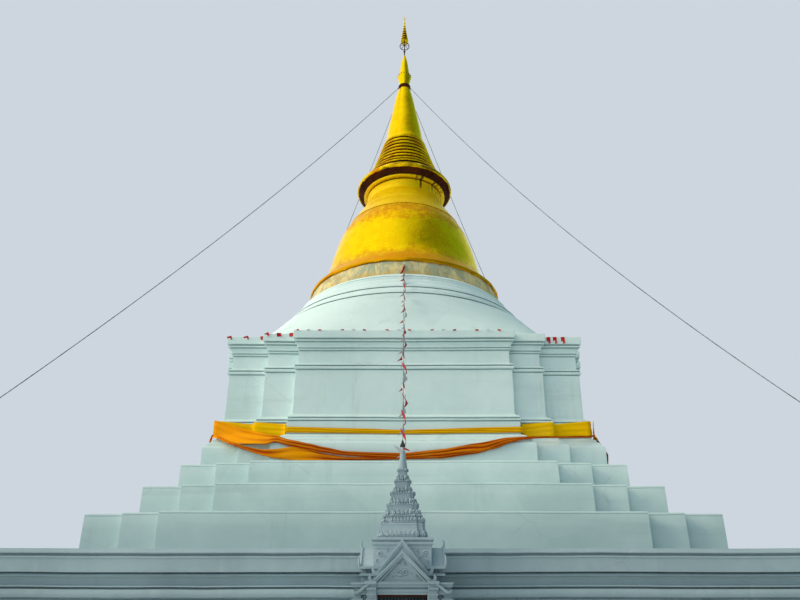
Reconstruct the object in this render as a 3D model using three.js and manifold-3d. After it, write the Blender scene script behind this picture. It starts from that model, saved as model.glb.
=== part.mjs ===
// Whitewashed stupa with a gilded bell and spire, on a redented body and a stepped base.
// Millimetres, +Z up. The origin is on the ground, in the middle of the square terrace.
// The front, with its small spired gate, faces -Y.
import * as THREE from 'three';
import { mergeVertices } from 'three/addons/utils/BufferGeometryUtils.js';
import Module from 'manifold-3d';

const wasm = await Module();
wasm.setup();

// Driving dimensions

const GAP = 0.3;

// lowest terrace, a moulded square platform
const TERRACE_HALF = 13700;
const TERRACE_TOP = 2780;
const TERRACE_LIP = 30;
const TERRACE_CORNICE_FOOT = 2285;

// Each plan is a square of half width `outer`, with two shallow bays on every side:
// a wide one of half width `middle` and, on it, a narrower one of half width `centre`.
const LOWER_STEP = { centre: 6825, middle: 7970, outer: 9165, top: 4120 };
const MIDDLE_STEP = { centre: 5660, middle: 6780, outer: 8045, top: 5120 };
const UPPER_STEP = { centre: 4865, middle: 6000, outer: 7235, top: 5970 };
const SHOULDER = { centre: 4345, middle: 5475, outer: 6760, top: 6650 };
const BODY = { centre: 3765, middle: 4895, outer: 6240 };
const STEP_BAYS = [275, 315];
const BODY_BAYS = [300, 320];

// heights on the redented body
const PLINTH_FOOT = 7020;
const PLINTH_TOP = 7540;
const WALL_FOOT = 7760;
const WALL_TOP = 9490;
const STRING_TOP = 9640;
const FRIEZE_TOP = 10120;
const CORNICE_TOP = 10830;
const CORNICE_REACH = 118;
const MOULDING_REACH = 175;

// round storeys
const FLARE_TOP = 12800;
const FLARE_TOP_RADIUS = 5860;
const FLARE_FOOT_HALF = 6850;
const FLARE_FOOT_POWER = 3.44;
const DRUM_TOP = 14280;
const BAND_TOP = 15060;
const BELL_LIP_RADIUS = 4400;
const BELL_TOP = 19000;
const BELL_TOP_RADIUS = 2695;
const NECK_TOP = 20880;
const NECK_RADIUS = 1850;
const DISC_FOOT = 21050;
const DISC_RADIUS = 2330;
const DISC_TOP = 21800;

// spire
const RING_COUNT = 9;
const RINGS_FOOT_RADIUS = 1870;
const RINGS_TOP = 24100;
const RINGS_TOP_RADIUS = 1110;
const COLLAR_FOOT = 27760;
const COLLAR_TOP = 28040;
const COLLAR_RADIUS = 330;
const BULB_TOP = 28860;
const MAST_FOOT = 30150;
const MAST_RADIUS = 26;
const UMBRELLA_FOOT = 31120;
const UMBRELLA_TOP = 32400;
const TIP = 33030;

// gate porch on the terrace's front
const GATE_FRONT = -15300;
const GATE_BACK = -13300;
const NICHE_BACK = -13900;
const GATE_HALF = 910;
const DOOR_HALF = 470;
const DOOR_HEAD = 1800;
const SILL_TOP = 120;
const LINTEL_TOP = 1925;
const GATE_CORNICE_TOP = 2020;
const ATTIC_HALF = 568;
const ATTIC_Y = -14350;
const ATTIC_TOP = 2760;
const ATTIC_CORNICE_TOP = 2890;
const WING_DEPTH = 430;
const WING_END = 840;
const WING_EAVES = 2330;
const WING_RIDGE = 2735;
const GATE_CONE_FOOT = 4330;
const GATE_TIP = 4820;

// pair of barred leaves
const LEAF_THICKNESS = 40;
const LEAF_INNER_FACE = -15080;
const PIVOT_X = 452;
const PIVOT_RADIUS = 12;
const LEAF_BAR = 16;
const LEAF_HEAD = 1785;
const LEAF_FOOT = 150;

// wire stays
const STAY_RADIUS = 14;
const STAY_SAGS = { front_left: 800, front_right: 1300, rear_left: 1500, rear_right: 1000 };
const STAY_STEPS = 10;
const STAY_HEAD_OUT = 365;
const STAY_HEAD_Z = 27800;
const STAY_TAIL_LIFT = 110;
const LUG_RADIUS = 26;
const LUG_LENGTH = 150;
const ANCHOR_AT = 13380;
const ANCHOR_HALF = 180;
const ANCHOR_HEIGHT = 200;

// cloth wrapped round the foot of the body
const CLOTH_THICKNESS = 24;
const PLINTH_WRAP = 200;
const SWAG_CLEARANCE = 60;

// line of small flags, from [y, z] on the gilded band to [y, z] over the gate's tip
const FLAG_LINE = [[-4428, 14850], [-14350, 4825]];
const FLAG_LINE_SAG = 350;
const FLAG_LINE_RADIUS = 6;

// Materials

const WHITEWASH = 0xdfe5e1;
const PALE_GREY = 0xd3dcdd;
const MID_GREY = 0xc3ced1;
const GREY = 0xb9c6ca;
const GOLD = 0xe0ac12;
const WORN_GOLD = 0xd8c98a;
const MAROON = 0x3b1416;
const IRON = 0x23262a;
const STEEL = 0x777c80;
const YELLOW = 0xe8b400;
const ORANGE = 0xe8741a;
const STRING = 0x8f8a80;

function finish(color, roughness, metalness) {
  return new THREE.MeshStandardMaterial({ color, roughness, metalness });
}

const plaster = (color = WHITEWASH) => finish(color, 0.85, 0);
const gilding = (color = GOLD) => finish(color, 0.38, 0.75);
const darkPaint = () => finish(MAROON, 0.7, 0);
const ironwork = () => finish(IRON, 0.5, 0.8);
const wire = () => finish(STEEL, 0.5, 0.9);
const fabric = (color) => finish(color, 0.9, 0);

// Shape helpers

const model = new THREE.Group();

function add(name, geometry, material, position = [0, 0, 0]) {
  const mesh = new THREE.Mesh(geometry, material);
  mesh.name = name;
  mesh.position.set(...position);
  model.add(mesh);
  return mesh;
}

// Merge the shared vertices, drop empty triangles and turn every face outwards.
function closed(source) {
  const bare = source.index ? source : source.clone();
  bare.deleteAttribute('normal');
  bare.deleteAttribute('uv');
  const merged = mergeVertices(bare, 1e-3);
  const position = merged.getAttribute('position');
  const index = merged.getIndex();
  const kept = [];
  const corners = [new THREE.Vector3(), new THREE.Vector3(), new THREE.Vector3()];
  let volume = 0;
  for (let i = 0; i < index.count; i += 3) {
    const ids = [index.getX(i), index.getX(i + 1), index.getX(i + 2)];
    if (ids[0] === ids[1] || ids[1] === ids[2] || ids[2] === ids[0]) continue;
    ids.forEach((id, k) => corners[k].fromBufferAttribute(position, id));
    volume += corners[0].dot(corners[1].clone().cross(corners[2]));
    kept.push(ids);
  }
  const order = volume < 0 ? [0, 2, 1] : [0, 1, 2];
  merged.setIndex(kept.flatMap((ids) => order.map((k) => ids[k])));
  merged.computeVertexNormals();
  return merged;
}

function toManifold(geometry) {
  return new wasm.Manifold(new wasm.Mesh({
    numProp: 3,
    vertProperties: new Float32Array(geometry.getAttribute('position').array),
    triVerts: new Uint32Array(geometry.getIndex().array),
  }));
}

function fromManifold(manifold) {
  const mesh = manifold.getMesh();
  const geometry = new THREE.BufferGeometry();
  geometry.setAttribute('position', new THREE.BufferAttribute(mesh.vertProperties, 3));
  geometry.setIndex(new THREE.BufferAttribute(mesh.triVerts, 1));
  geometry.computeVertexNormals();
  return geometry;
}

function joined(geometries) {
  return fromManifold(geometries.map(toManifold).reduce((sum, next) => sum.add(next)));
}

function cut(geometry, cutter) {
  return fromManifold(toManifold(geometry).subtract(toManifold(cutter)));
}

// A box between two corners.
function block(x0, x1, y0, y1, z0, z1) {
  const geometry = new THREE.BoxGeometry(x1 - x0, y1 - y0, z1 - z0);
  geometry.translate((x0 + x1) / 2, (y0 + y1) / 2, (z0 + z1) / 2);
  return closed(geometry);
}

// A turned solid from [radius, height] points that start and end on the axis.
function turned(points, segments) {
  const profile = points.map(([radius, height]) => new THREE.Vector2(radius, height));
  const geometry = new THREE.LatheGeometry(profile, segments);
  geometry.rotateX(Math.PI / 2);
  return closed(geometry);
}

// A turned solid whose profile gets its end caps on the axis.
function turnedFull(points, segments) {
  const first = points[0];
  const last = points[points.length - 1];
  return turned([[0, first[1]], ...points, [0, last[1]]], segments);
}

// A solid made of level outlines with the same number of points, one above the other.
function stacked(outlines) {
  const count = outlines[0].points.length;
  const vertices = [];
  const faces = [];
  outlines.forEach(({ points, z }) => points.forEach(([x, y]) => vertices.push(x, y, z)));
  for (let level = 0; level + 1 < outlines.length; level += 1) {
    for (let i = 0; i < count; i += 1) {
      const a = level * count + i;
      const b = level * count + ((i + 1) % count);
      faces.push(a, b, b + count, a, b + count, a + count);
    }
  }
  const cap = (points, base, flip) => {
    const contour = points.map(([x, y]) => new THREE.Vector2(x, y));
    THREE.ShapeUtils.triangulateShape(contour, []).forEach(([a, b, c]) => {
      faces.push(base + a, base + (flip ? c : b), base + (flip ? b : c));
    });
  };
  cap(outlines[0].points, 0, true);
  cap(outlines[outlines.length - 1].points, (outlines.length - 1) * count, false);
  const geometry = new THREE.BufferGeometry();
  geometry.setAttribute('position', new THREE.Float32BufferAttribute(vertices, 3));
  geometry.setIndex(faces);
  return closed(geometry);
}

function squarePlan(half, centreY = 0) {
  return [[-half, -half], [half, -half], [half, half], [-half, half]].map(([x, y]) => [x, y + centreY]);
}

// The square with two bays a side, each face moved out by `reach`.
function redentedPlan(size, bays, reach = 0) {
  const outer = size.outer + reach;
  const middle = size.middle + reach;
  const centre = size.centre + reach;
  const near = outer + bays[0];
  const far = near + bays[1];
  const side = [
    [-outer, -outer], [-middle, -outer], [-middle, -near], [-centre, -near],
    [-centre, -far], [centre, -far], [centre, -near], [middle, -near], [middle, -outer],
  ];
  const turns = [([x, y]) => [x, y], ([x, y]) => [-y, x], ([x, y]) => [-x, -y], ([x, y]) => [y, -x]];
  return turns.flatMap((turn) => side.map(turn));
}

// A redented storey from [reach, height] steps.
function storey(size, bays, steps) {
  return stacked(steps.map(([reach, z]) => ({ points: redentedPlan(size, bays, reach), z })));
}

// The square with one shallow bay a side, for the small tiers of the gate.
function bayedPlan(half, bay, centreY) {
  const inner = half * 0.62;
  const flat = half - bay;
  const side = [[-flat, -flat], [-inner, -flat], [-inner, -half], [inner, -half], [inner, -flat]];
  const turns = [([x, y]) => [x, y], ([x, y]) => [-y, x], ([x, y]) => [-x, -y], ([x, y]) => [y, -x]];
  return turns.flatMap((turn) => side.map(turn)).map(([x, y]) => [x, y + centreY]);
}

// Terrace and stepped base

// The moulded wall of the terrace, `grow` larger all round.
function terraceWall(grow = 0) {
  const profile = [
    [0, 0], [0, 360], [-70, 420], [-70, 520], [-210, 700], [-300, 760], [-300, 1480],
    [-210, 1560], [-130, 1650], [-130, 1790], [-220, 1880], [-220, 1960], [-170, 1975],
    [-170, 2060], [-110, 2080], [-110, 2180], [-60, 2200], [-60, TERRACE_CORNICE_FOOT],
  ];
  const half = TERRACE_HALF - TERRACE_LIP + grow;
  return stacked(profile.map(([reach, z]) => ({ points: squarePlan(half + reach), z })));
}

function addTerrace() {
  const cornice = [
    [0, TERRACE_CORNICE_FOOT], [0, 2600], [-20, 2600], [-20, 2690], [TERRACE_LIP, 2700],
    [TERRACE_LIP, TERRACE_TOP],
  ];
  const half = TERRACE_HALF - TERRACE_LIP;
  add('terrace_wall', terraceWall(), plaster(PALE_GREY));
  const levels = cornice.map(([reach, z]) => ({ points: squarePlan(half + reach), z }));
  add('terrace_cornice', stacked(levels), plaster(PALE_GREY));
}

function addSteps() {
  const lift = [
    ['lower_step', LOWER_STEP, TERRACE_TOP],
    ['middle_step', MIDDLE_STEP, LOWER_STEP.top],
    ['upper_step', UPPER_STEP, MIDDLE_STEP.top],
  ];
  for (const [name, size, foot] of lift) {
    add(name, storey(size, STEP_BAYS, [[25, foot], [0, size.top]]), plaster());
  }
}

// The top step slopes back in small tiers to the body's plinth.
function addShoulder() {
  const plinth = { centre: BODY.centre + 160, middle: BODY.middle + 160, outer: BODY.outer + 160 };
  const plan = (share, z) => {
    const mix = (key) => SHOULDER[key] + (plinth[key] - SHOULDER[key]) * share;
    const size = { centre: mix('centre'), middle: mix('middle'), outer: mix('outer') };
    return { points: redentedPlan(size, BODY_BAYS), z };
  };
  add('sloping_shoulder', stacked([
    plan(0, UPPER_STEP.top), plan(0, SHOULDER.top), plan(0.3, 6740), plan(0.32, 6800),
    plan(0.62, 6880), plan(0.64, 6940), plan(0.97, PLINTH_FOOT),
  ]), plaster());
}

// Redented body

function addBody() {
  add('body_plinth', storey(BODY, BODY_BAYS, [[150, PLINTH_FOOT], [150, PLINTH_TOP]]), plaster());
  add('body_base_moulding', storey(BODY, BODY_BAYS, [
    [165, PLINTH_TOP], [165, 7590], [120, 7605], [MOULDING_REACH, 7640], [MOULDING_REACH, 7690],
    [110, 7725], [30, WALL_FOOT],
  ]), plaster());
  add('body_wall', storey(BODY, BODY_BAYS, [[8, WALL_FOOT], [-8, WALL_TOP]]), plaster());
  add('string_course', storey(BODY, BODY_BAYS, [
    [34, WALL_TOP], [34, 9540], [60, 9555], [60, 9600], [-20, STRING_TOP],
  ]), plaster());
  add('body_frieze', storey(BODY, BODY_BAYS, [[-78, STRING_TOP], [-78, FRIEZE_TOP]]), plaster());
  add('body_cornice', storey(BODY, BODY_BAYS, [
    [-30, FRIEZE_TOP], [-30, 10220], [0, 10260], [52, 10400], [52, 10440], [78, 10450],
    [78, 10505], [CORNICE_REACH, 10512], [CORNICE_REACH, CORNICE_TOP],
  ]), plaster());
}

// Round storeys

// The flared roof is nearly square at its foot and round at its top.
function addFlaredRoof() {
  const around = 64;
  const levels = 7;
  const footSpread = (value) => Math.abs(value) ** FLARE_FOOT_POWER;
  const outlines = [];
  for (let level = 0; level <= levels; level += 1) {
    const share = level / levels;
    const points = [];
    for (let i = 0; i < around; i += 1) {
      const angle = (i / around) * 2 * Math.PI;
      const spread = footSpread(Math.cos(angle)) + footSpread(Math.sin(angle));
      const foot = FLARE_FOOT_HALF / spread ** (1 / FLARE_FOOT_POWER);
      const radius = foot + (FLARE_TOP_RADIUS - foot) * share;
      points.push([radius * Math.cos(angle), radius * Math.sin(angle)]);
    }
    outlines.push({ points, z: CORNICE_TOP + (FLARE_TOP - CORNICE_TOP) * share });
  }
  add('flared_roof', stacked(outlines), plaster());
}

function addDrum() {
  add('drum_mouldings', turnedFull([
    [5800, FLARE_TOP], [5640, 12960], [5640, 13000], [5560, 13040], [5330, 13390], [5330, 13440],
    [5230, 13480], [5060, 13700], [4990, 13760], [4860, 13960], [4860, 14030], [4700, 14090],
    [4700, 14160], [4640, DRUM_TOP],
  ], 44), plaster());
  add('gilded_band', turnedFull([
    [4580, DRUM_TOP], [4520, 14500], [4440, 14800], [4340, BAND_TOP],
  ], 44), gilding(WORN_GOLD));
}

function addBell() {
  add('bell', turnedFull([
    [4300, BAND_TOP], [BELL_LIP_RADIUS, 15110], [4390, 15200], [4140, 15440], [3880, 15760],
    [3720, 16080], [3600, 16450], [3490, 16900], [3360, 17400], [3195, 17950], [3005, 18450],
    [BELL_TOP_RADIUS, BELL_TOP],
  ], 44), gilding());
  add('bell_shoulder', turnedFull([
    [BELL_TOP_RADIUS + 15, BELL_TOP], [2450, 19420], [2240, 19740], [2215, 19780], [2110, 19950],
    [1980, 20200], [1870, 20460],
  ], 36), gilding());
  add('neck', turnedFull([
    [NECK_RADIUS, 20460], [NECK_RADIUS, NECK_TOP], [1930, NECK_TOP], [1990, 20930], [1990, 21010],
    [1940, DISC_FOOT],
  ], 32), gilding());
}

function addDisc() {
  add('disc_soffit', turnedFull([
    [2000, DISC_FOOT], [2170, 21130], [2290, 21220], [2310, 21240],
  ], 36), darkPaint());
  add('disc', turnedFull([
    [2320, 21240], [DISC_RADIUS, 21300], [DISC_RADIUS, 21380], [2290, 21450], [2230, 21530],
    [2120, 21640], [1950, 21760], [1920, DISC_TOP],
  ], 36), gilding());
}

// Spire

function addRingedCone() {
  const pitch = (RINGS_TOP - DISC_TOP) / RING_COUNT;
  const points = [];
  for (let i = 0; i < RING_COUNT; i += 1) {
    const z = DISC_TOP + i * pitch;
    const share = i / (RING_COUNT - 1);
    const radius = RINGS_FOOT_RADIUS + (RINGS_TOP_RADIUS - RINGS_FOOT_RADIUS) * share ** 0.78;
    points.push([radius - 70, z], [radius, z + 0.3 * pitch], [radius - 10, z + 0.75 * pitch]);
  }
  points.push([RINGS_TOP_RADIUS - 70, RINGS_TOP]);
  add('ringed_cone', turnedFull(points, 28), gilding());
}

function addSpire() {
  add('smooth_cone', turnedFull([
    [1045, RINGS_TOP], [980, 24360], [900, 24800], [765, 25600], [610, 26400], [460, 27200],
    [320, COLLAR_FOOT],
  ], 32), gilding());
  add('spire_bulb', turnedFull([
    [215, COLLAR_TOP], [235, 28180], [330, 28450], [345, 28600], [300, 28760], [250, BULB_TOP],
  ], 20), gilding());
  add('upper_cone', turnedFull([
    [245, BULB_TOP], [225, 29100], [160, 29670], [80, 30030], [40, MAST_FOOT],
  ], 16), gilding());
}

function addFinial() {
  const ringZ = 30830;
  const ringRadius = 250;
  const mast = new THREE.CylinderGeometry(MAST_RADIUS, MAST_RADIUS, UMBRELLA_FOOT - MAST_FOOT, 12);
  mast.rotateX(Math.PI / 2);
  mast.translate(0, 0, (UMBRELLA_FOOT + MAST_FOOT) / 2);
  const hoop = new THREE.TorusGeometry(ringRadius, 20, 8, 24);
  hoop.translate(0, 0, ringZ);
  const spokes = [0, 1].map((turn) => {
    const spoke = block(-ringRadius, ringRadius, -12, 12, ringZ - 12, ringZ + 12);
    spoke.rotateZ(turn * Math.PI / 2);
    return spoke;
  });
  add('finial_mast', joined([closed(mast), closed(hoop), ...spokes]), ironwork());

  const tiers = 7;
  const height = (UMBRELLA_TOP - UMBRELLA_FOOT) / tiers;
  const points = [];
  for (let i = 0; i < tiers; i += 1) {
    const radius = 215 - i * 26;
    points.push([radius, UMBRELLA_FOOT + i * height], [radius * 0.62, UMBRELLA_FOOT + (i + 0.8) * height]);
  }
  points.push([30, UMBRELLA_TOP]);
  add('tiered_umbrella', turnedFull(points, 16), gilding());

  const vane = turnedFull([
    [18, UMBRELLA_TOP], [50, 32440], [50, 32500], [14, 32560], [14, 32900], [3, TIP],
  ], 12);
  const arm = block(-110, 110, -10, 10, 32760, 32790);
  const crossArm = block(-10, 10, -110, 110, 32760, 32790);
  add('spire_vane', joined([vane, arm, crossArm]), gilding());
}

// Gate porch

// A gabled block: a triangle, half wide at its foot, from y0 to y1.
function gable(half, foot, apex, y0, y1) {
  const shape = new THREE.Shape([
    new THREE.Vector2(-half, foot), new THREE.Vector2(half, foot), new THREE.Vector2(0, apex),
  ]);
  const geometry = new THREE.ExtrudeGeometry(shape, { depth: y1 - y0, bevelEnabled: false });
  geometry.rotateX(Math.PI / 2);
  geometry.translate(0, y1, 0);
  return closed(geometry);
}

function addGatePiers() {
  for (const [name, side] of [['gate_left_pier', -1], ['gate_right_pier', 1]]) {
    const shape = new THREE.Shape();
    const outline = [
      [DOOR_HALF, GATE_FRONT], [640, GATE_FRONT], [640, GATE_FRONT + 90], [770, GATE_FRONT + 90],
      [770, GATE_FRONT + 30], [GATE_HALF, GATE_FRONT + 30], [GATE_HALF, GATE_BACK], [DOOR_HALF, GATE_BACK],
    ];
    shape.setFromPoints(outline.map(([x, y]) => new THREE.Vector2(x * side, y)));
    const geometry = new THREE.ExtrudeGeometry(shape, { depth: DOOR_HEAD, bevelEnabled: false });
    add(name, cut(closed(geometry), terraceWall(GAP)), plaster(GREY));
  }
  add('gate_sill', block(-DOOR_HALF, DOOR_HALF, GATE_FRONT, NICHE_BACK, 0, SILL_TOP), plaster(GREY));
  const backWall = block(-DOOR_HALF, DOOR_HALF, NICHE_BACK, GATE_BACK, 0, DOOR_HEAD);
  add('gate_back_wall', cut(backWall, terraceWall(GAP)), plaster(GREY));
}

// The square block over the roof, `grow` larger all round.
function attic(grow) {
  const levels = [
    [0, GATE_CORNICE_TOP], [0, 2745], [30, ATTIC_TOP], [30, 2800], [5, 2815], [45, 2840],
    [45, ATTIC_CORNICE_TOP],
  ];
  return stacked(levels.map(([reach, z]) => ({ points: squarePlan(ATTIC_HALF + reach + grow, ATTIC_Y), z })));
}

function addGateRoof() {
  const front = GATE_FRONT;
  const lintel = [
    [0, DOOR_HEAD], [0, 1915], [-20, LINTEL_TOP], [20, 1940], [45, 1985], [45, GATE_CORNICE_TOP],
  ];
  const lintelPlan = (reach) => [
    [-GATE_HALF - reach, front - reach], [GATE_HALF + reach, front - reach],
    [GATE_HALF + reach, GATE_BACK], [-GATE_HALF - reach, GATE_BACK],
  ];
  const slab = stacked(lintel.map(([reach, z]) => ({ points: lintelPlan(reach), z })));
  add('gate_lintel', cut(slab, terraceWall(GAP)), plaster(GREY));

  const atticFront = ATTIC_Y - ATTIC_HALF;
  const upperGable = gable(600, GATE_CORNICE_TOP, 2805, front + 180, atticFront);
  const frontGable = gable(575, GATE_CORNICE_TOP, 2600, front - 30, front + 190);
  add('gate_gables', cut(joined([upperGable, frontGable]), attic(GAP)), plaster(GREY));

  for (const [name, side] of [['gate_left_wing', -1], ['gate_right_wing', 1]]) {
    const walls = block(-WING_DEPTH, WING_DEPTH, ATTIC_HALF, 800, GATE_CORNICE_TOP, WING_EAVES);
    const roof = gable(WING_DEPTH + 40, WING_EAVES, WING_RIDGE, ATTIC_HALF, WING_END);
    const wing = joined([walls, roof]);
    wing.rotateZ(side * Math.PI / 2);
    add(name, wing, plaster(GREY), [0, ATTIC_Y, 0]);
  }

  add('gate_attic', attic(0), plaster(MID_GREY));
}

function addGateSpire() {
  // half width, foot and top of each tier
  const tiers = [
    [490, ATTIC_CORNICE_TOP, 3210], [450, 3210, 3340], [360, 3340, 3580], [275, 3580, 3830],
    [180, 3830, 4090], [110, 4090, GATE_CONE_FOOT],
  ];
  const levels = [];
  for (const [half, foot, top] of tiers) {
    const rise = top - foot;
    levels.push([half, foot], [half, foot + 0.3 * rise], [half * 0.86, foot + 0.4 * rise]);
    levels.push([half * 0.8, foot + 0.98 * rise]);
  }
  levels.push([85, GATE_CONE_FOOT]);
  add('gate_spire_tiers', stacked(levels.map(([half, z]) => ({
    points: bayedPlan(half, half * 0.12, ATTIC_Y), z,
  }))), plaster(PALE_GREY));
  const cone = turnedFull([
    [78, GATE_CONE_FOOT], [95, 4350], [60, 4400], [22, 4740], [36, 4765], [8, GATE_TIP],
  ], 16);
  add('gate_spire_tip', cone, plaster(PALE_GREY), [0, ATTIC_Y, 0]);
}

// A barred leaf with its pivot bar, which turns between the sill and the lintel.
function addLeaf(name, side) {
  const outer = PIVOT_X;
  const inner = 8;
  const face = LEAF_INNER_FACE;
  const back = face - LEAF_THICKNESS;
  const at = (x0, x1, z0, z1, inset = 0) => {
    const [left, right] = side > 0 ? [x0, x1] : [-x1, -x0];
    return block(left, right, back + inset, face - inset, z0, z1);
  };
  const pivot = new THREE.CylinderGeometry(PIVOT_RADIUS, PIVOT_RADIUS, DOOR_HEAD - SILL_TOP - 2 * GAP, 12);
  pivot.rotateX(Math.PI / 2);
  pivot.translate(side * PIVOT_X, face, (DOOR_HEAD + SILL_TOP) / 2);
  const pieces = [
    closed(pivot),
    at(outer - 40, outer, LEAF_FOOT, LEAF_HEAD), at(inner, inner + 40, LEAF_FOOT, LEAF_HEAD),
    at(inner, outer, LEAF_HEAD - 40, LEAF_HEAD), at(inner, outer, LEAF_FOOT, LEAF_FOOT + 40),
    at(inner, outer, 940, 980),
  ];
  const bars = 5;
  for (let i = 1; i <= bars; i += 1) {
    const x = inner + 40 + (outer - inner - 80) * i / (bars + 1);
    pieces.push(at(x - LEAF_BAR / 2, x + LEAF_BAR / 2, LEAF_FOOT, LEAF_HEAD, 12));
  }
  add(name, joined(pieces), ironwork());
}

// Stays

const STAY_CORNERS = [
  ['front_left', -1, -1], ['front_right', 1, -1], ['rear_left', -1, 1], ['rear_right', 1, 1],
];

// The line of one stay, from the collar down to its anchor, with its belly lowered by `sag`.
function stayPath(sx, sy, sag) {
  const out = STAY_HEAD_OUT * Math.SQRT1_2;
  const head = new THREE.Vector3(sx * out, sy * out, STAY_HEAD_Z);
  const tailHeight = TERRACE_TOP + ANCHOR_HEIGHT + STAY_TAIL_LIFT;
  const tail = new THREE.Vector3(sx * ANCHOR_AT, sy * ANCHOR_AT, tailHeight);
  const belly = head.clone().add(tail).multiplyScalar(0.5);
  belly.z -= 2 * sag;
  return new THREE.QuadraticBezierCurve3(head, belly, tail);
}

// A round lug that ends GAP short of `end`, in line with the stay's direction `run`.
function lug(end, run) {
  const geometry = new THREE.CylinderGeometry(LUG_RADIUS, LUG_RADIUS, LUG_LENGTH, 12);
  geometry.translate(0, -LUG_LENGTH / 2 - GAP, 0);
  geometry.applyQuaternion(new THREE.Quaternion().setFromUnitVectors(new THREE.Vector3(0, 1, 0), run));
  geometry.translate(end.x, end.y, end.z);
  return closed(geometry);
}

function addStays() {
  const collar = turnedFull([[COLLAR_RADIUS, COLLAR_FOOT], [COLLAR_RADIUS, COLLAR_TOP]], 24);
  const lugs = [];
  for (const [place, sx, sy] of STAY_CORNERS) {
    const path = stayPath(sx, sy, STAY_SAGS[place]);
    lugs.push(lug(path.getPoint(0), path.getTangent(0)));

    const anchorTop = TERRACE_TOP + ANCHOR_HEIGHT;
    const levels = [[ANCHOR_HALF, TERRACE_TOP], [ANCHOR_HALF, anchorTop - 60], [ANCHOR_HALF - 60, anchorTop]];
    const base = stacked(levels.map(([half, z]) => ({ points: squarePlan(half), z })));
    base.translate(sx * ANCHOR_AT, sy * ANCHOR_AT, 0);
    const eye = lug(path.getPoint(1), path.getTangent(1).negate());
    add(`stay_anchor_${place}`, joined([base, eye]), plaster(MID_GREY));

    const section = new THREE.Shape();
    section.absarc(0, 0, STAY_RADIUS, 0, 2 * Math.PI);
    const options = { steps: STAY_STEPS, curveSegments: 4, extrudePath: path, bevelEnabled: false };
    add(`stay_${place}`, closed(new THREE.ExtrudeGeometry(section, options)), wire());
  }
  add('stay_collar', joined([collar, ...lugs]), darkPaint());
}

// Cloth wraps and the line of small flags

// A closed band round the axis from rings of [inner points, outer points] at each station.
function band(sections) {
  const size = sections[0].length;
  const faces = [];
  sections.forEach((section, i) => {
    const here = i * size;
    const next = ((i + 1) % sections.length) * size;
    for (let k = 0; k < size; k += 1) {
      const after = (k + 1) % size;
      faces.push(here + k, next + k, next + after, here + k, next + after, here + after);
    }
  });
  const geometry = new THREE.BufferGeometry();
  geometry.setAttribute('position', new THREE.Float32BufferAttribute(sections.flat(2), 3));
  geometry.setIndex(faces);
  return closed(geometry);
}

// The four sides of the stupa, as turns of the front one.
const SIDES = [([x, y]) => [x, y], ([x, y]) => [-y, x], ([x, y]) => [-x, -y], ([x, y]) => [y, -x]];

// The yellow cloth follows the bays of the plinth. Its heights are [low, high] at each corner.
function yellowSections() {
  const corner = [7080, 7650];
  const bay = [7040, 7520];
  const recess = [7030, 7450];
  const edge = [7080, 7290];
  const middle = [7030, 7180];
  const heights = [corner, bay, bay, recess, edge, middle, edge, recess, bay, bay];
  const side = (reach) => {
    const plan = redentedPlan(BODY, BODY_BAYS, reach).slice(0, 9);
    return [...plan.slice(0, 5), [0, plan[4][1]], ...plan.slice(5)];
  };
  const inner = side(MOULDING_REACH + GAP);
  const outer = side(MOULDING_REACH + GAP + CLOTH_THICKNESS);
  return SIDES.flatMap((turn) => heights.map(([low, high], i) => [
    [...turn(inner[i]), low], [...turn(outer[i]), low], [...turn(outer[i]), high], [...turn(inner[i]), high],
  ]));
}

// How far the base has drawn in from the shoulder's face, 0, to the plinth, 1, at a height.
function drawnIn(z) {
  return Math.min(1, Math.max(0, (z - SHOULDER.top) / (PLINTH_FOOT + 100 - SHOULDER.top)));
}

// Four heights from low to high, with one on each edge that the cloth bends over.
function clothLevels(low, high) {
  const bends = [SHOULDER.top, PLINTH_FOOT + 100].filter((z) => z > low && z < high);
  const levels = [low, ...bends, high];
  while (levels.length < 4) {
    const gaps = levels.slice(1).map((z, i) => z - levels[i]);
    const widest = gaps.indexOf(Math.max(...gaps));
    levels.splice(widest + 1, 0, (levels[widest] + levels[widest + 1]) / 2);
  }
  return levels;
}

// The front of a cloth drawn tight round the base, from corner to corner and over the middle bay.
function tautY(x, z, clearance) {
  const share = drawnIn(z);
  const mix = (key) => SHOULDER[key] + (BODY[key] + PLINTH_WRAP - SHOULDER[key]) * share + clearance;
  const corner = mix('outer');
  const centre = mix('centre');
  const far = corner + BODY_BAYS[0] + BODY_BAYS[1];
  if (Math.abs(x) <= centre) return -far;
  return -(corner + (far - corner) * Math.max(0, corner - Math.abs(x)) / (corner - centre));
}

// The orange cloth hangs in a swag from corner to corner. Each station is [x, low, high].
function orangeSections() {
  const corner = BODY.outer + MOULDING_REACH + CLOTH_THICKNESS + 2 * GAP;
  const stations = [
    [-corner, 7040, 7650], [-6150, 6880, 7560], [-5800, 6600, 7440], [-SHOULDER.middle, 6360, 7330],
    [-4900, 6200, 7100], [-SHOULDER.centre, 6115, 6920], [-3900, 6110, 6760], [-3400, 6110, 6600],
    [-2400, 6110, 6420], [0, 6110, 6310], [1850, 6130, 6450], [2600, 6250, 6560], [3300, 6560, 6800],
    [3800, 6900, 7060], [4300, 6980, 7090], [5300, 7030, 7110],
  ];
  const point = (x, z, out) => (x === -corner ? [x - out, x - out] : [x, tautY(x, z, SWAG_CLEARANCE + out)]);
  const line = (turn, out) => stations.map(([x, low, high]) => (
    clothLevels(low, high).map((z) => [...turn(point(x, z, out)), z])
  ));
  return SIDES.flatMap((turn) => {
    const outer = line(turn, CLOTH_THICKNESS);
    return line(turn, 0).map((inner, i) => [inner[0], ...outer[i], inner[3], inner[2], inner[1]]);
  });
}

function addCloths() {
  add('yellow_cloth', band(yellowSections()), fabric(YELLOW));
  add('orange_cloth', band(orangeSections()), fabric(ORANGE));
}

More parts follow.
